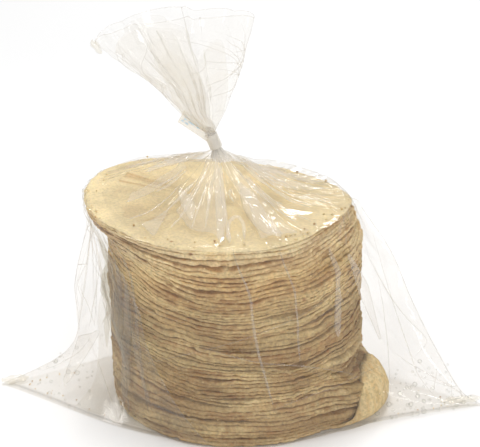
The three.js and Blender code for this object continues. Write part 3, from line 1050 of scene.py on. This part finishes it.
def neck_ring(share):
    centre = lerp(np.array(NECK_FOOT, float), np.array(NECK_TOP, float), share)
    angle = section_angles(0, np.pi)
    pleats = 1 + 0.13 * np.cos(23 * angle) + 0.1 * np.cos(9 * angle + 1)
    ring = np.stack([np.cos(angle), np.sin(angle), 0 * angle], axis=-1) * (NECK_RADIUS * pleats)[:, None]
    return centre + ring


def pleat_height(angle, share, draws):
    """Narrow folds that run out from the neck, each to its own length."""
    total = 0 * angle
    reach = TORTILLA_RADIUS * (1 - share) + 4
    for k in range(TENT_PLEATS):
        middle = 2 * np.pi * (k + draws.uniform(-0.35, 0.35)) / TENT_PLEATS
        drift = draws.uniform(-0.12, 0.12)
        width = draws.uniform(1.3, 3.2)
        height = draws.uniform(0.8, 3.4)
        ends = draws.uniform(0.02, 0.55)
        lean = draws.uniform(-0.5, 0.5)
        off = turn_between(middle + drift * np.sin(3 * share), angle) * reach / width
        off = off / (1 + lean * np.tanh(off))
        ridge = height * np.maximum(0, 1 - np.abs(off)) * smoothstep(share, ends, ends + 0.3)
        total = np.maximum(total, ridge * (1 - smoothstep(share, 0.8, 1)))
    return total


def tent_rings(rim):
    """The film over the top tortilla, gathered to the foot of the neck."""
    draws = np.random.default_rng(51)
    foot = neck_ring(0)
    x0 = stack_at(STACK_HEIGHT)[0]
    centre = np.array([x0, 0, STACK_HEIGHT + RIM_ROUND])
    inward = centre - rim
    inward[:, 2] = 0
    inward *= RIM_ROUND / np.linalg.norm(inward, axis=-1, keepdims=True)
    turned = rim + inward
    turned[:, 2] = lerp(rim[:, 2], centre[2], 0.75) + 0.3
    angle = np.arctan2(turned[:, 1], turned[:, 0] - x0)
    front = np.maximum(0, -np.sin(angle))
    steepness = lerp(TENT_STEEPNESS_BACK, TENT_STEEPNESS_FRONT, front)
    share = np.linspace(0, 1, TENT_ROWS)[:, None]
    rise = lerp(share**steepness, share**8, TENT_PEAK)
    flat = lerp(turned[None], foot[None], share[..., None])
    flat[..., 2] = lerp(turned[:, 2], foot[:, 2], rise)
    inner = np.sin(np.pi * share**1.2)
    facets = 1.3 * crumple(flat * np.array([1, 1, 0.4]), 22, 52) + 0.6 * crumple(flat, 9, 53)
    pleats = pleat_height(angle[None], share, draws)
    flat[..., 2] += inner * facets * (1 - smoothstep(share, 0.75, 1)) + pleats
    return flat


def collider_for(reach):
    """A plain closed body of the stack's form, for the film to settle on, and the floor under it."""
    angles = ring_angles(REACH_COLUMNS)
    rings = []
    for row in range(REACH_ROWS):
        level = min(row * REACH_STEP, STACK_HEIGHT - 1.0)
        x0, y0, _, _ = stack_at(level)
        x, y = x0 + reach[row] * np.cos(angles), y0 + reach[row] * np.sin(angles)
        rings.append(back_raised(np.stack([x, y, level + 0 * angles], axis=-1)))
    points, quads, triangles = closed_rings(rings)
    floor_quad = np.array([[0, 1, 2, 3]]) + len(points)
    return np.vstack([points, square(400, -0.4)]), np.vstack([quads, floor_quad]), triangles


def settling_stack(solid, material):
    """A solid for the film to settle on, enlarged."""
    points, quads, triangles = solid
    stack = mesh_object("settling_stack", points * SETTLE_SCALE, [quads, triangles], material)
    stack.modifiers.new("collision", "COLLISION")
    stack.collision.thickness_outer = SETTLE_GAP
    stack.collision.cloth_friction = SETTLE_FRICTION
    return stack


def add_weights(piece, name, weights):
    group = piece.vertex_groups.new(name=name)
    for index, weight in enumerate(weights.ravel()):
        group.add([index], float(weight), "REPLACE")


def settle(rings, held, slack, frames, solid=None):
    """Lets a closed grid of film buckle, as it has more material than its form needs, and settle on a solid.

    held is 1 where a point stays in its place, and slack is the share by which the film is longer there.
    Without a solid the film has no weight.
    """
    plain = bpy.data.materials.new("settling")
    enlarged = rings.reshape(-1, 3) * SETTLE_SCALE
    film = mesh_object("settling_film", enlarged, [grid_faces(*rings.shape[:2])], plain)
    scratch = [film]
    if solid is not None:
        scratch.append(settling_stack(solid, plain))
    most = float(slack.max())
    add_weights(film, "held", held)
    add_weights(film, "slack", slack / most)
    cloth = film.modifiers.new("cloth", "CLOTH")
    for name, value in CLOTH.items():
        setattr(cloth.settings, name, value)
    cloth.settings.shrink_max = -most
    cloth.settings.effector_weights.gravity = SETTLE_GRAVITY if solid else 0
    cloth.collision_settings.use_collision = solid is not None
    cloth.collision_settings.distance_min = SETTLE_GAP
    cloth.collision_settings.collision_quality = 2
    cloth.point_cache.frame_start = 1
    cloth.point_cache.frame_end = frames
    for step in range(1, frames + 1):
        bpy.context.scene.frame_set(step)
    settled = film.evaluated_get(bpy.context.evaluated_depsgraph_get())
    result = np.zeros(rings.size, np.float32)
    settled.data.vertices.foreach_get("co", result)
    result = result.reshape(rings.shape) / (MM * SETTLE_SCALE)
    bpy.context.scene.frame_set(1)
    for piece in scratch:
        bpy.data.objects.remove(piece)
    moved = result - rings
    far = np.linalg.norm(moved, axis=-1, keepdims=True)
    return rings + moved * np.minimum(1, SETTLE_LIMIT / np.maximum(far, 1e-9))


def refined(rings):
    """A grid with a new row and a new column between every two, on smooth curves through the old ones."""
    beside = np.roll(rings, -1, axis=1)
    middle = (9 * (rings + beside) - np.roll(rings, 1, axis=1) - np.roll(rings, -2, axis=1)) / 16
    wide = np.stack([rings, middle], axis=2).reshape(rings.shape[0], -1, 3)
    padded = np.concatenate([2 * wide[:1] - wide[1:2], wide, 2 * wide[-1:] - wide[-2:-1]])
    between = (9 * (wide[:-1] + wide[1:]) - padded[:-3] - padded[3:]) / 16
    fine = np.empty((2 * len(wide) - 1, wide.shape[1], 3))
    fine[0::2] = wide
    fine[1::2] = between
    return fine


def film_round_stack(material, reach):
    """The film from its bottom seam to the top of its neck, as two pieces."""
    body = body_rings(reach)
    tent = tent_rings(body[-1])
    necks = np.array([neck_ring(share) for share in np.linspace(0, 1, 4)[1:]])
    rings = back_raised(np.concatenate([body, tent, necks]))
    up = np.concatenate([np.zeros(len(body)), np.linspace(0, 1, len(tent)), np.ones(len(necks))])
    up = up[:, None]
    held = np.maximum((rings[..., 2] < 1.0) | (up > 0.93), 0).astype(float)
    out = smoothstep(np.hypot(rings[..., 0], rings[..., 1]), 80, 92)
    wings = np.where(rings[..., 0] < 0, LEFT_WING_SLACK, RIGHT_WING_SLACK)
    slack = lerp(BODY_SLACK, wings, out) * (up == 0) + TENT_SLACK * up**1.5
    rings = settle(rings, held, slack, BODY_FRAMES, collider_for(reach))
    fine = refined(rings)
    fine[..., 2] = np.maximum(fine[..., 2], FILM_FOOT)
    seam = 2 * len(body)
    under = np.array([lerp(fine[0].mean(axis=0), fine[0], share) for share in (0.1, 0.5, 0.9)])
    under[..., 2] = FLOOR_CLEARANCE
    film_piece("film_body", [np.concatenate([under, fine[: seam + 1]])], material)
    film_piece("film_tent", [fine[seam:]], material)
    return fine[:seam], fine[seam:]


def mean_outward(body):
    """The directions outward of a closed grid of film, evened out along its rows."""
    normal = outward(body)
    return sum(np.roll(normal, step, axis=1) for step in range(-FACING_SPREAD, FACING_SPREAD + 1))


def body_place(body, facing, azimuth, height):
    """Points on the settled film beside the stack, and its mean directions outward there."""
    row = np.clip(height / STACK_HEIGHT * (len(body) - 1), 0, len(body) - 1.001)
    points = np.empty((len(row), 3))
    normal = np.empty((len(row), 3))
    for index, (level, turn) in enumerate(zip(row, azimuth)):
        ring = lerp(body[int(level)], body[int(level) + 1], level - int(level))
        x0, y0, _, _ = stack_at(ring[:, 2].mean())
        away = np.abs(turn_between(np.arctan2(ring[:, 1] - y0, ring[:, 0] - x0), turn))
        near = np.argsort(away)[:2]
        points[index] = np.average(ring[near], axis=0, weights=1 / (away[near] + 1e-6))
        normal[index] = facing[int(level), near[0]]
    return points, normal / np.linalg.norm(normal, axis=-1, keepdims=True)


def front_place(body, x, z):
    """Points on the front of the settled film, at places given by x and z."""
    front = body[:, body.shape[1] // 2 :].reshape(-1, 3)
    points = np.empty((len(x), 3))
    for index, place in enumerate(zip(x, z)):
        away = np.hypot(*(front[:, ::2] - place).T)
        near = np.argpartition(away, 4)[:4]
        points[index] = (place[0], np.average(front[near, 1], weights=1 / (away[near] + 0.3)), place[1])
    return points


def tent_place(tent, x, y):
    """Points on the settled tent below its neck, and a direction outward, over places on the floor."""
    flat = tent[: 2 * TENT_ROWS - 6].reshape(-1, 3)
    points = np.empty((len(x), 3))
    for index, place in enumerate(zip(x, y)):
        away = np.hypot(*(flat[:, :2] - place).T)
        near = np.argpartition(away, 5)[:5]
        points[index] = (*place, np.average(flat[near, 2], weights=1 / (away[near] + 0.3)))
    return points, np.array([0, -0.35, 0.94]) + 0 * points


def fold_section(route):
    """A flattened fold along a route of (place, place, half width): its middle, where across, how high."""
    middle = curve_at(route, np.linspace(0, 1, FOLD_ROWS))
    around = ring_angles(FOLD_COLUMNS)
    ends = np.minimum(1, 3 * np.sin(np.pi * np.linspace(0.02, 0.98, FOLD_ROWS)))
    across = np.cos(around)[None] * (middle[:, 2] * ends)[:, None]
    lift = np.clip(0.5 * middle[:, 2], 0.5, 1.8)
    above = 0.35 + np.maximum(np.sin(around), 0)[None] * (lift * ends)[:, None]
    return middle[:, :2], across, above


def body_fold(body, facing, route):
    """A loose fold of film that lies on the film beside the stack."""
    middle, across, above = fold_section(route)
    azimuth = np.radians(middle[:, :1]) + across / TORTILLA_RADIUS
    height = middle[:, 1:] + 0 * across
    points, normal = body_place(body, facing, azimuth.ravel(), height.ravel())
    points = points + normal * (above.ravel() * (1.2 + 0.7 * crumple(points, 9, 71)))[:, None]
    return points.reshape(*across.shape, 3)


def tent_fold(tent, route):
    """A loose fold of film that lies on the tent."""
    middle, across, above = fold_section(route)
    along = np.gradient(middle, axis=0)
    along /= np.linalg.norm(along, axis=-1, keepdims=True)
    x = middle[:, :1] - along[:, 1:] * across
    y = middle[:, 1:] + along[:, :1] * across
    points, normal = tent_place(tent, x.ravel(), y.ravel())
    points = points + normal * (above.ravel() * (1.2 + 0.7 * crumple(points, 7, 72)))[:, None]
    return points.reshape(*across.shape, 3)


def flank_routes(draws):
    """Drawn folds that run down the left flank and, twice as many, down the right flank and the back."""
    routes = []
    for turn in range(FLANK_FOLDS):
        azimuth = draws.uniform(35, 150) if turn % 3 else draws.uniform(-165, -125)
        top, bottom = draws.uniform(80, 121), draws.uniform(2, 55)
        drift = draws.uniform(-4, 16)
        width = draws.choice([0.8, 1.2, 2.0, 3.5])
        middle = (azimuth + 0.4 * drift, (top + bottom) / 2, width)
        routes.append([(azimuth, top, 0.6 * width), middle, (azimuth + drift, bottom, 0.5 * width)])
    return routes


def radial_routes(draws):
    """Drawn folds that run out over the tent from the neck, closest together on its right."""
    routes = []
    foot = np.array(NECK_FOOT[:2], float)
    for k in range(RADIAL_FOLDS):
        even = 2 * np.pi * (k + draws.uniform(-0.4, 0.4)) / RADIAL_FOLDS
        turn = even - 0.6 * math.sin(even)
        start, end = draws.uniform(9, 28), draws.uniform(34, 68)
        bend = draws.uniform(-0.12, 0.12)
        width = draws.choice([0.6, 0.9, 1.4, 2.4])
        route = []
        for reach, swing, share in ((start, 0, 0.6), ((start + end) / 2, bend, 1), (end, 0.5 * bend, 0.5)):
            x, y = foot + reach * np.array([math.cos(turn + swing), math.sin(turn + swing)])
            route.append((x, y, width * share))
        routes.append(route)
    return routes


def film_folds(clear, smoky, milky, body, tent):
    draws = np.random.default_rng(73)
    facing = mean_outward(body)
    front = [body_fold(body, facing, route) for route in FRONT_FOLDS]
    flank = [body_fold(body, facing, route) for route in flank_routes(draws)]
    above = [tent_fold(tent, route) for route in TENT_FOLDS + radial_routes(draws)]
    film_piece("film_front_folds", front, clear)
    film_piece("film_flank_folds", flank, smoky)
    film_piece("film_tent_folds", above, milky)


def smoothed(route):
    """A route with its steps from point to point evened out."""
    for _ in range(6):
        padded = np.concatenate([route[:1], route, route[-1:]])
        route = (padded[:-2] + 2 * padded[1:-1] + padded[2:]) / 4
    return route


def thin_tube(route, radius):
    """A thin tube of film along a route. radius is one number, or one for each point."""
    along = np.gradient(route, axis=0)
    side = np.cross(along, (0.3, 1.0, 0.2))
    side /= np.maximum(np.linalg.norm(side, axis=-1, keepdims=True), 1e-9)
    other = np.cross(along, side)
    other /= np.maximum(np.linalg.norm(other, axis=-1, keepdims=True), 1e-9)
    around = ring_angles(CREASE_COLUMNS)[None, :, None]
    ring = np.cos(around) * side[:, None] + np.sin(around) * other[:, None]
    return route[:, None] + np.reshape(radius, (-1, 1, 1)) * ring


def film_creases(name, material, grid, places, seed):
    """Thin sharp creases that cross a closed grid of film.

    places holds how many there are and, as shares of the grid, the columns and rows they start and end in.
    """
    draws = np.random.default_rng(seed)
    rows, columns = grid.shape[:2]
    creases = []
    for count, across, up in places:
        for _ in range(count):
            start, end = draws.uniform(*np.transpose([across, up]), (2, 2))
            bend = draws.normal(size=2) * 0.06 * np.abs(end - start)
            share = np.linspace(0, 1, CREASE_ROWS)[:, None]
            route = lerp(start, end, share) + bend * np.sin(np.pi * share)
            column = np.floor(route[:, 0] * columns).astype(int) % columns
            row = np.clip(route[:, 1] * (rows - 1), 0, rows - 1.001).astype(int)
            width = draws.uniform(*CREASE_WIDTHS) * np.sin(np.pi * lerp(0.03, 0.97, share))
            creases.append(thin_tube(smoothed(grid[row, column]), width))
    film_piece(name, creases, material)


def flank_sheet(body):
    """The second layer of film over the left flank of the stack, on the film there."""
    edge = curve_at(FLANK_SHEET, np.linspace(0, 1, SHEET_ROWS))
    across = np.linspace(0, 1, SHEET_COLUMNS)[None]
    azimuth = np.radians(lerp(edge[:, :1], FLANK_SHEET_BACK, across))
    height = edge[:, 1:] + 0 * across
    points, normal = body_place(body, mean_outward(body), azimuth.ravel(), height.ravel())
    points = points + normal * (1.0 + 0.5 * crumple(points, 14, 74))[:, None]
    return points.reshape(SHEET_ROWS, SHEET_COLUMNS, 3)


def straight_at(points, share):
    """The straight lines from point to point, at shares between 0 and 1."""
    place = share * (len(points) - 1)
    return np.stack([np.interp(place, range(len(points)), values) for values in zip(*points)], axis=-1)


def between_edges(first, second):
    """The two coordinates of places between two long edges, and how far up and across each place lies."""
    up = np.linspace(0, 1, SHEET_ROWS)[:, None]
    across = np.linspace(0, 1, SHEET_COLUMNS)[None]
    edges = [straight_at(edge, up[:, 0])[:, None] for edge in (first, second)]
    return lerp(*edges, across[..., None]).reshape(-1, 2).T, up, across


def flap(body, first, second):
    """A flap of film that bulges between its two long edges, on the front of a wing."""
    places, up, across = between_edges(first, second)
    points = front_place(body, *places).reshape(SHEET_ROWS, SHEET_COLUMNS, 3)
    points[..., 1] -= 0.6 + FLAP_BULGE * np.sin(np.pi * across) * np.sin(np.pi * up)
    return points + 0.4 * crumple(points, 6, 76)[..., None] * np.array([0, 1, 0])


def wedge(tent, first, second):
    """A wedge of doubled, milky film that lies on the tent between its two long edges, where it also paints
    white glare.
    """
    points, normal = tent_place(tent, *between_edges(first, second)[0])
    points = points + normal * (1.1 + 0.5 * crumple(points, 9, 77))[:, None]
    return points.reshape(SHEET_ROWS, SHEET_COLUMNS, 3)


def film_sheets(smoky, folded, body, tent):
    """All second layers of film, as two pieces. The wedges on the tent also paint white glare."""
    flank = flank_sheet(body)
    flaps = [flap(body, *edges) for edges in FLAPS] + [wedge(tent, *edges) for edges in TENT_WEDGES_AND_PAINTED_GLARE]
    film_piece("film_flank_sheet", [flank], smoky, closed=False)
    film_piece("film_flaps_and_painted_glare", flaps, folded, closed=False)
    return [flank, *flaps]


def wing_line(body, route):
    places = curve_at(route, np.linspace(0, 1, CREASE_ROWS))
    return smoothed(front_place(body, places[:, 0], places[:, 1])) - np.array([0, LINE_RADIUS, 0])


def film_hems(material, body, fan, sheets):
    """The film's thicker edges, at wing seams, mouth and sheets, and the wings' long creases."""
    mouth = np.vstack([fan[-1, ::2], fan[-1, :1]])
    routes = [body[::2, 0], body[::2, body.shape[1] // 2], mouth, sheets[0][:, 0]]
    routes += [sheet[:, side] for sheet in sheets[1:] for side in (0, -1)]
    hems = [thin_tube(route, HEM_RADIUS) for route in routes]
    taper = LINE_RADIUS * np.sin(np.pi * np.linspace(0.05, 0.95, CREASE_ROWS))
    hems += [thin_tube(wing_line(body, route), taper) for route in WING_LINES]
    film_piece("film_hems", hems, material)


def roll_of_film(start, end, size):
    """A loosely rolled corner of film, thinner towards its ends."""
    along = np.linspace(0, 1, ROLL_ROWS)[:, None]
    turn = np.linspace(0, 2 * np.pi * ROLL_TURNS, ROLL_COLUMNS)[None]
    middle = curve_at([start, end], along)
    axis = np.subtract(end, start) / math.dist(end, start)
    across = np.cross(axis, (0, 1, 0))
    across /= np.linalg.norm(across)
    radius = size * (0.35 + 0.65 * turn / turn.max()) * (0.2 + 0.8 * np.sin(np.pi * along) ** 0.7)
    around = np.cos(turn)[..., None] * across + np.sin(turn)[..., None] * np.cross(axis, across)
    points = middle + radius[..., None] * around
    return points + 0.4 * size * crumple(points, 5, 68)[..., None] * around


def gathered_layer(size, seed):
    """One layer of the film where it is gathered below, in and above the tape."""
    up = np.linspace(0, 1, GATHER_ROWS)
    centre = curve_at(GATHER_MIDDLES, up)
    radius = size * (NECK_RADIUS + GATHER_FLARE * (1 - smoothstep(up, 0, 0.45)) ** 1.6)
    angle = ring_angles(GATHER_COLUMNS)
    draws = np.random.default_rng(seed)
    pleats = 0
    for count in GATHER_PLEATS:
        pleats = pleats + np.cos(count * angle + draws.uniform(0, 6)) * draws.uniform(0.06, 0.12)
    ring = np.stack([np.cos(angle), np.sin(angle)], axis=-1) * (1 + pleats)[:, None]
    points = np.repeat(centre[:, None], GATHER_COLUMNS, axis=1)
    points[..., :2] += ring[None] * radius[:, None, None]
    crumpled = crumple(points * np.array([1, 1, 0.3]), 4, seed)
    return points + 0.3 * crumpled[..., None] * np.array([0.4, 0.4, 1])


def mouth_rise(side):
    arch = MOUTH_RISE * np.maximum(1 - side * side, 0) ** 0.4
    return arch * (1 - MOUTH_STEP * smoothstep(side, FOLDED_EDGE_HIGH, FOLDED_EDGE_HIGH + 0.1))


def fan_grid(depth_scale=1.0, seed=61, pleats=9, up_to=1.0, span=(-1, 1), shorter=0.0):
    """The loose film above the neck, or a layer inside it: folded back and forth, and open at its mouth.

    span is how much of the fan's width it takes, from -1 at the left edge to 1 at the right one, and shorter
    is by how much less it goes up at its sides than in its middle.
    """
    draws = np.random.default_rng(seed)
    angle = section_angles(0, np.pi)[None]
    share = np.linspace(0, up_to, FAN_ROWS)[:, None] * (1 - shorter * np.cos(angle) ** 2)
    left = curve_at(FAN_LEFT_EDGE, share)
    right = curve_at(FAN_RIGHT_EDGE, share)
    centre = (left + right) / 2
    half = (right - left) / 2
    depth = lerp(NECK_RADIUS, MOUTH_HALF_DEPTH * depth_scale, share)
    opening = smoothstep(share, 0, 0.3)
    phase = draws.uniform(0, 6)
    back_and_forth = np.sin(pleats * angle + 0.9 * np.sin(2 * angle) + phase)
    in_and_out = np.cos(pleats * angle + 0.9 * np.sin(2 * angle) + phase)
    side = np.cos(angle + 0.16 * opening * back_and_forth * np.sin(angle) ** 2)
    side = lerp(side, lerp(span[0], span[1], (side + 1) / 2), smoothstep(share, 0, 0.25))
    corner = np.abs(np.cos(angle)) ** 6
    fold = 1 + (0.1 + 0.42 * opening) * (1 - corner) * (in_and_out - 1) / 2
    folded_edge = lerp(FOLDED_EDGE_LOW, FOLDED_EDGE_HIGH, share)
    past = smoothstep(side, folded_edge - 0.05, folded_edge + 0.05) * smoothstep(share, 0, 0.2)
    lobe = np.where(np.sin(angle) < 0, lerp(1, LOBE_DEPTH, past), 1)
    x = centre[..., 0] + half[..., 0] * side
    y = centre[..., 1] + depth * fold * lobe * np.sin(angle)
    z = centre[..., 2] + half[..., 2] * side + mouth_rise(side) * share**2
    points = np.stack([x, y, z], axis=-1)
    crumpled = 1.1 * crumple(points, 20, seed + 1) + 0.4 * crumple(points, 8, seed + 2)
    return points + outward(points) * (smoothstep(share, 0.05, 0.4) * crumpled)[..., None]


def loosened(grid):
    """A grid of the fan, buckled by simulation. It is held at the neck."""
    up = np.linspace(0, 1, len(grid))[:, None] + 0 * grid[..., 0]
    held = np.where(up < 0.04, 1, 0.12 * smoothstep(up, 0.8, 1))
    return settle(grid, held, 0.01 + FAN_SLACK * np.sin(np.pi * up) ** 0.7, FAN_FRAMES)


def film_fan(material):
    outer = refined(loosened(fan_grid()))
    film_piece("film_fan", [outer], material)
    film_creases("film_fan_creases", material, outer, FAN_CREASES, 66)
    inner = [loosened(fan_grid(*layer)[:, ::2]) for layer in FAN_LAYERS]
    film_piece("film_fan_inside", inner, material)
    return outer


# ---- The tape, the drops and the crumbs ----


def flag_point(along, across, out):
    """A point on the tape's flag: along it from the neck, across it and out from its front."""
    rise, swing = math.radians(FLAG_RISE_DEG), math.radians(FLAG_SWING_DEG)
    x = -along * math.cos(rise) + across * math.sin(rise)
    z = along * math.sin(rise) + across * math.cos(rise) - TAPE_WIDTH / 2
    y = -out
    turned_x = x * math.cos(swing) + y * math.sin(swing)
    turned = np.array([turned_x, -x * math.sin(swing) + y * math.cos(swing), z])
    middle = lerp(np.array(NECK_FOOT, float), np.array(NECK_TOP, float), 0.5)
    return middle + turned + np.array([0, NECK_RADIUS + TAPE_GAP + FLAG_THICKNESS + 0.05, 0])


def tape_print(material):
    """Plain dashes on both faces of the tape's flag."""
    points = []
    for along, across, length in PRINT_DASHES:
        for out in (FLAG_THICKNESS + 0.06, -0.06):
            for u, v in ((0, 0), (length, 0), (length, PRINT_WIDTH), (0, PRINT_WIDTH)):
                points.append(flag_point(along + u, across + v, out))
    quads = np.arange(len(points)).reshape(-1, 4)
    finish_piece(mesh_object("tape_print", np.array(points), [quads], material), "tape")


def print_material():
    material, tree = new_material("pale_blue_print")
    worn = noise_texture(tree, object_place(tree), 900.0)
    colour = ramp(tree, worn, [(0.35, (0.42, 0.62, 0.80, 1)), (0.65, (0.62, 0.78, 0.88, 1))])
    surface = add_node(tree, "ShaderNodeBsdfPrincipled", {"Base Color": colour, "Roughness": 0.4})
    finish_material(tree, surface)
    return material


def bead(place, normal, size, rows, columns, height, rough, seed):
    """A small closed lump on a surface: a drop where it is smooth and a crumb where it is rough."""
    side = np.cross(normal, [0.31, 0.52, 0.79])
    side /= np.linalg.norm(side)
    other = np.cross(normal, side)
    angle = ring_angles(columns)
    rings = []
    for tilt in np.linspace(0.12, 0.88, rows) * np.pi:
        radius = size * math.sin(tilt)
        level = size * height * math.cos(tilt)
        around = np.cos(angle)[:, None] * side + np.sin(angle)[:, None] * other
        ring = place + normal * level + radius * around
        rings.append(ring + rough * size * hashed(np.round(ring * 97) + seed, seed)[:, None] * normal)
    return closed_rings(rings)


def crumb(place, normal, size, height, seed):
    return bead(place, normal, size, *CRUMB_GRID, height, CRUMB_ROUGHNESS, seed)


def film_spots(body, azimuths, heights, count, draws):
    """Drawn places on the film beside the stack, within azimuths in degrees and heights."""
    places = body.reshape(-1, 3)
    azimuth = np.degrees(np.arctan2(places[:, 1], places[:, 0]))
    chosen = (azimuth > azimuths[0]) & (azimuth < azimuths[1])
    chosen &= (places[:, 2] > heights[0]) & (places[:, 2] < heights[1])
    index = draws.choice(np.flatnonzero(chosen), count)
    return places[index], outward(body).reshape(-1, 3)[index]


def water_drops(material, body):
    draws = np.random.default_rng(81)
    drops = []
    for azimuths, heights, count in DROP_PLACES:
        for place, normal in zip(*film_spots(body, azimuths, heights, count, draws)):
            size = draws.uniform(0.35, 0.9) * draws.choice([1, 1, 1, 1.8])
            place = place + normal * 0.2 * size + draws.normal(size=3) * np.array([1.2, 1.2, 0])
            place[2] = max(place[2], size)
            drops.append(bead(place, normal, size, *DROP_GRID, DROP_HEIGHT, 0, 0))
    points, quads, triangles = joined(drops)
    finish_piece(mesh_object("drops", points, [quads, triangles], material), "film", "bag")


def loose_crumbs(material, body, stack):
    """Crumbs on the stack's side, on the top tortilla's rim and on the bag's floor."""
    draws = np.random.default_rng(91)
    crumbs = []
    up = np.array([0, 0, 1.0])
    x0, y0, _, _ = stack_at(stack[:, 2])
    out = np.stack([stack[:, 0] - x0, stack[:, 1] - y0, 0 * x0], axis=-1)
    reach = np.linalg.norm(out, axis=-1)
    for index in draws.choice(np.flatnonzero(reach > TORTILLA_RADIUS - 2), SIDE_CRUMBS):
        size = draws.uniform(0.2, 0.55)
        crumbs.append(crumb(stack[index], out[index] / reach[index], size, 0.9, len(crumbs)))
    for turn in draws.uniform(-np.pi, np.pi, RIM_CRUMBS):
        reach = TORTILLA_RADIUS * draws.uniform(0.84, 1.0)
        flat = np.array([[reach * math.cos(turn), reach * math.sin(turn), STACK_HEIGHT - 0.9]])
        crumbs.append(crumb(warp_stack(flat)[0], up, draws.uniform(0.4, 1.0), 0.7, len(crumbs)))
    for azimuths in FLOOR_CRUMB_SPANS:
        for place in film_spots(body, azimuths, (0, 6), FLOOR_CRUMBS, draws)[0]:
            size = draws.uniform(0.2, 0.5)
            crumbs.append(crumb(place * np.array([0.93, 0.93, 0]) + size * up, up, size, 0.7, len(crumbs)))
    points, quads, triangles = joined(crumbs)
    points[:, 2] = np.maximum(points[:, 2], FLOOR_CLEARANCE)
    each = len(points) // len(crumbs)
    shades = {
        "toast": draws.choice([0, 0, 0.15, 0.75], len(crumbs)).repeat(each),
        "pale": draws.uniform(0, 0.8, len(crumbs)).repeat(each),
    }
    finish_piece(mesh_object("crumbs", points, [quads, triangles], material, shades), "tortilla", "bag")


# ---- The studio ----


def area_light(name, at, towards, size, power):
    light = bpy.data.lights.new(name, "AREA")
    light.shape = "RECTANGLE"
    light.size, light.size_y = size
    light.energy = power
    lamp = bpy.data.objects.new(name, light)
    lamp.location = at
    direction = np.array(towards, float) - np.array(at, float)
    flat = math.hypot(direction[0], direction[1])
    lamp.rotation_euler = Euler((math.atan2(flat, -direction[2]), 0, math.atan2(-direction[0], direction[1])))
    bpy.context.scene.collection.objects.link(lamp)


def studio():
    """A pale floor that runs on past the view and glows towards its far parts as painted light, soft lights
    and the camera.
    """
    scene = bpy.context.scene
    scene.view_settings.view_transform = "Standard"
    scene.cycles.transparent_max_bounces = 48
    floor_material, tree = new_material("floor")
    place = object_place(tree)
    colour = ramp(tree, noise_texture(tree, place, 1.5), [(0.3, grey(0.94)), (0.7, grey(0.96))])
    surface = add_node(tree, "ShaderNodeBsdfDiffuse", {"Color": colour})
    # Painted light: the floor glows more and more away from the object.
    away = add_node(tree, "ShaderNodeVectorMath", {0: place}, operation="LENGTH").outputs["Value"]
    far = maths(tree, "DIVIDE", away, FLOOR_GLOW_TO)
    glow = ramp(tree, far, [(0.3, grey(0)), (1.0, grey(FLOOR_GLOW))])
    lit = add_node(tree, "ShaderNodeEmission", {"Color": glow})
    both = add_node(tree, "ShaderNodeAddShader", {0: surface.outputs[0], 1: lit.outputs[0]})
    finish_material(tree, both)
    corners = square(FLOOR_HALF_SIDE, FLOOR_LEVEL)
    floor = mesh_object("floor", corners, [np.array([[0, 1, 2, 3]])], floor_material)

    world = bpy.data.worlds.new("studio")
    world.use_nodes = True
    world.node_tree.nodes["Background"].inputs[0].default_value = (1, 1, 1, 1)
    world.node_tree.nodes["Background"].inputs[1].default_value = WORLD_LIGHT
    scene.world = world

    for light in LIGHTS:
        area_light(*light)

    camera = bpy.data.cameras.new("camera")
    camera.lens = CAMERA_LENS
    camera.sensor_width = 36
    eye = bpy.data.objects.new("camera", camera)
    eye.location = [v * MM for v in CAMERA_AT]
    eye.rotation_euler = Euler((math.pi / 2 - CAMERA_PITCH, 0, -CAMERA_YAW))
    scene.collection.objects.link(eye)
    scene.camera = eye


# ---- The scene ----

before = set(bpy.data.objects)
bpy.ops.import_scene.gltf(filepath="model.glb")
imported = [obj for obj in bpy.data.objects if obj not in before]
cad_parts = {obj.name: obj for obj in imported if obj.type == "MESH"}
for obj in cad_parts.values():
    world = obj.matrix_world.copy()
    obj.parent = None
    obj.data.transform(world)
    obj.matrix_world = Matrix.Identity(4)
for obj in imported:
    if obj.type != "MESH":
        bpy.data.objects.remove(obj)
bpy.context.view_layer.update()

corn = tortilla_material()
film, loose, smoky, rolled, folded, gathered, tape, water = (
    film_material(name, *values) for name, values in FILMS.items()
)

stack_points = stack_pieces(corn)
top_tortilla(corn)
body_film, tent_film = film_round_stack(film, reach_map(stack_points))
film_folds(loose, smoky, folded, body_film, tent_film)
film_creases("film_wing_creases", loose, body_film, WING_CREASES, 67)
film_piece("film_gathers", [gathered_layer(size, 75 + k) for k, size in enumerate(GATHER_SIZES)], gathered)
film_hems(loose, body_film, film_fan(loose), film_sheets(smoky, folded, body_film, tent_film))
film_piece("film_rolls", [roll_of_film(*roll) for roll in ROLLS], rolled, closed=False)
water_drops(water, body_film)
loose_crumbs(corn, body_film, stack_points)
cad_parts["neck_tape"].data.materials.clear()
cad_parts["neck_tape"].data.materials.append(tape)
tape_print(print_material())
studio()
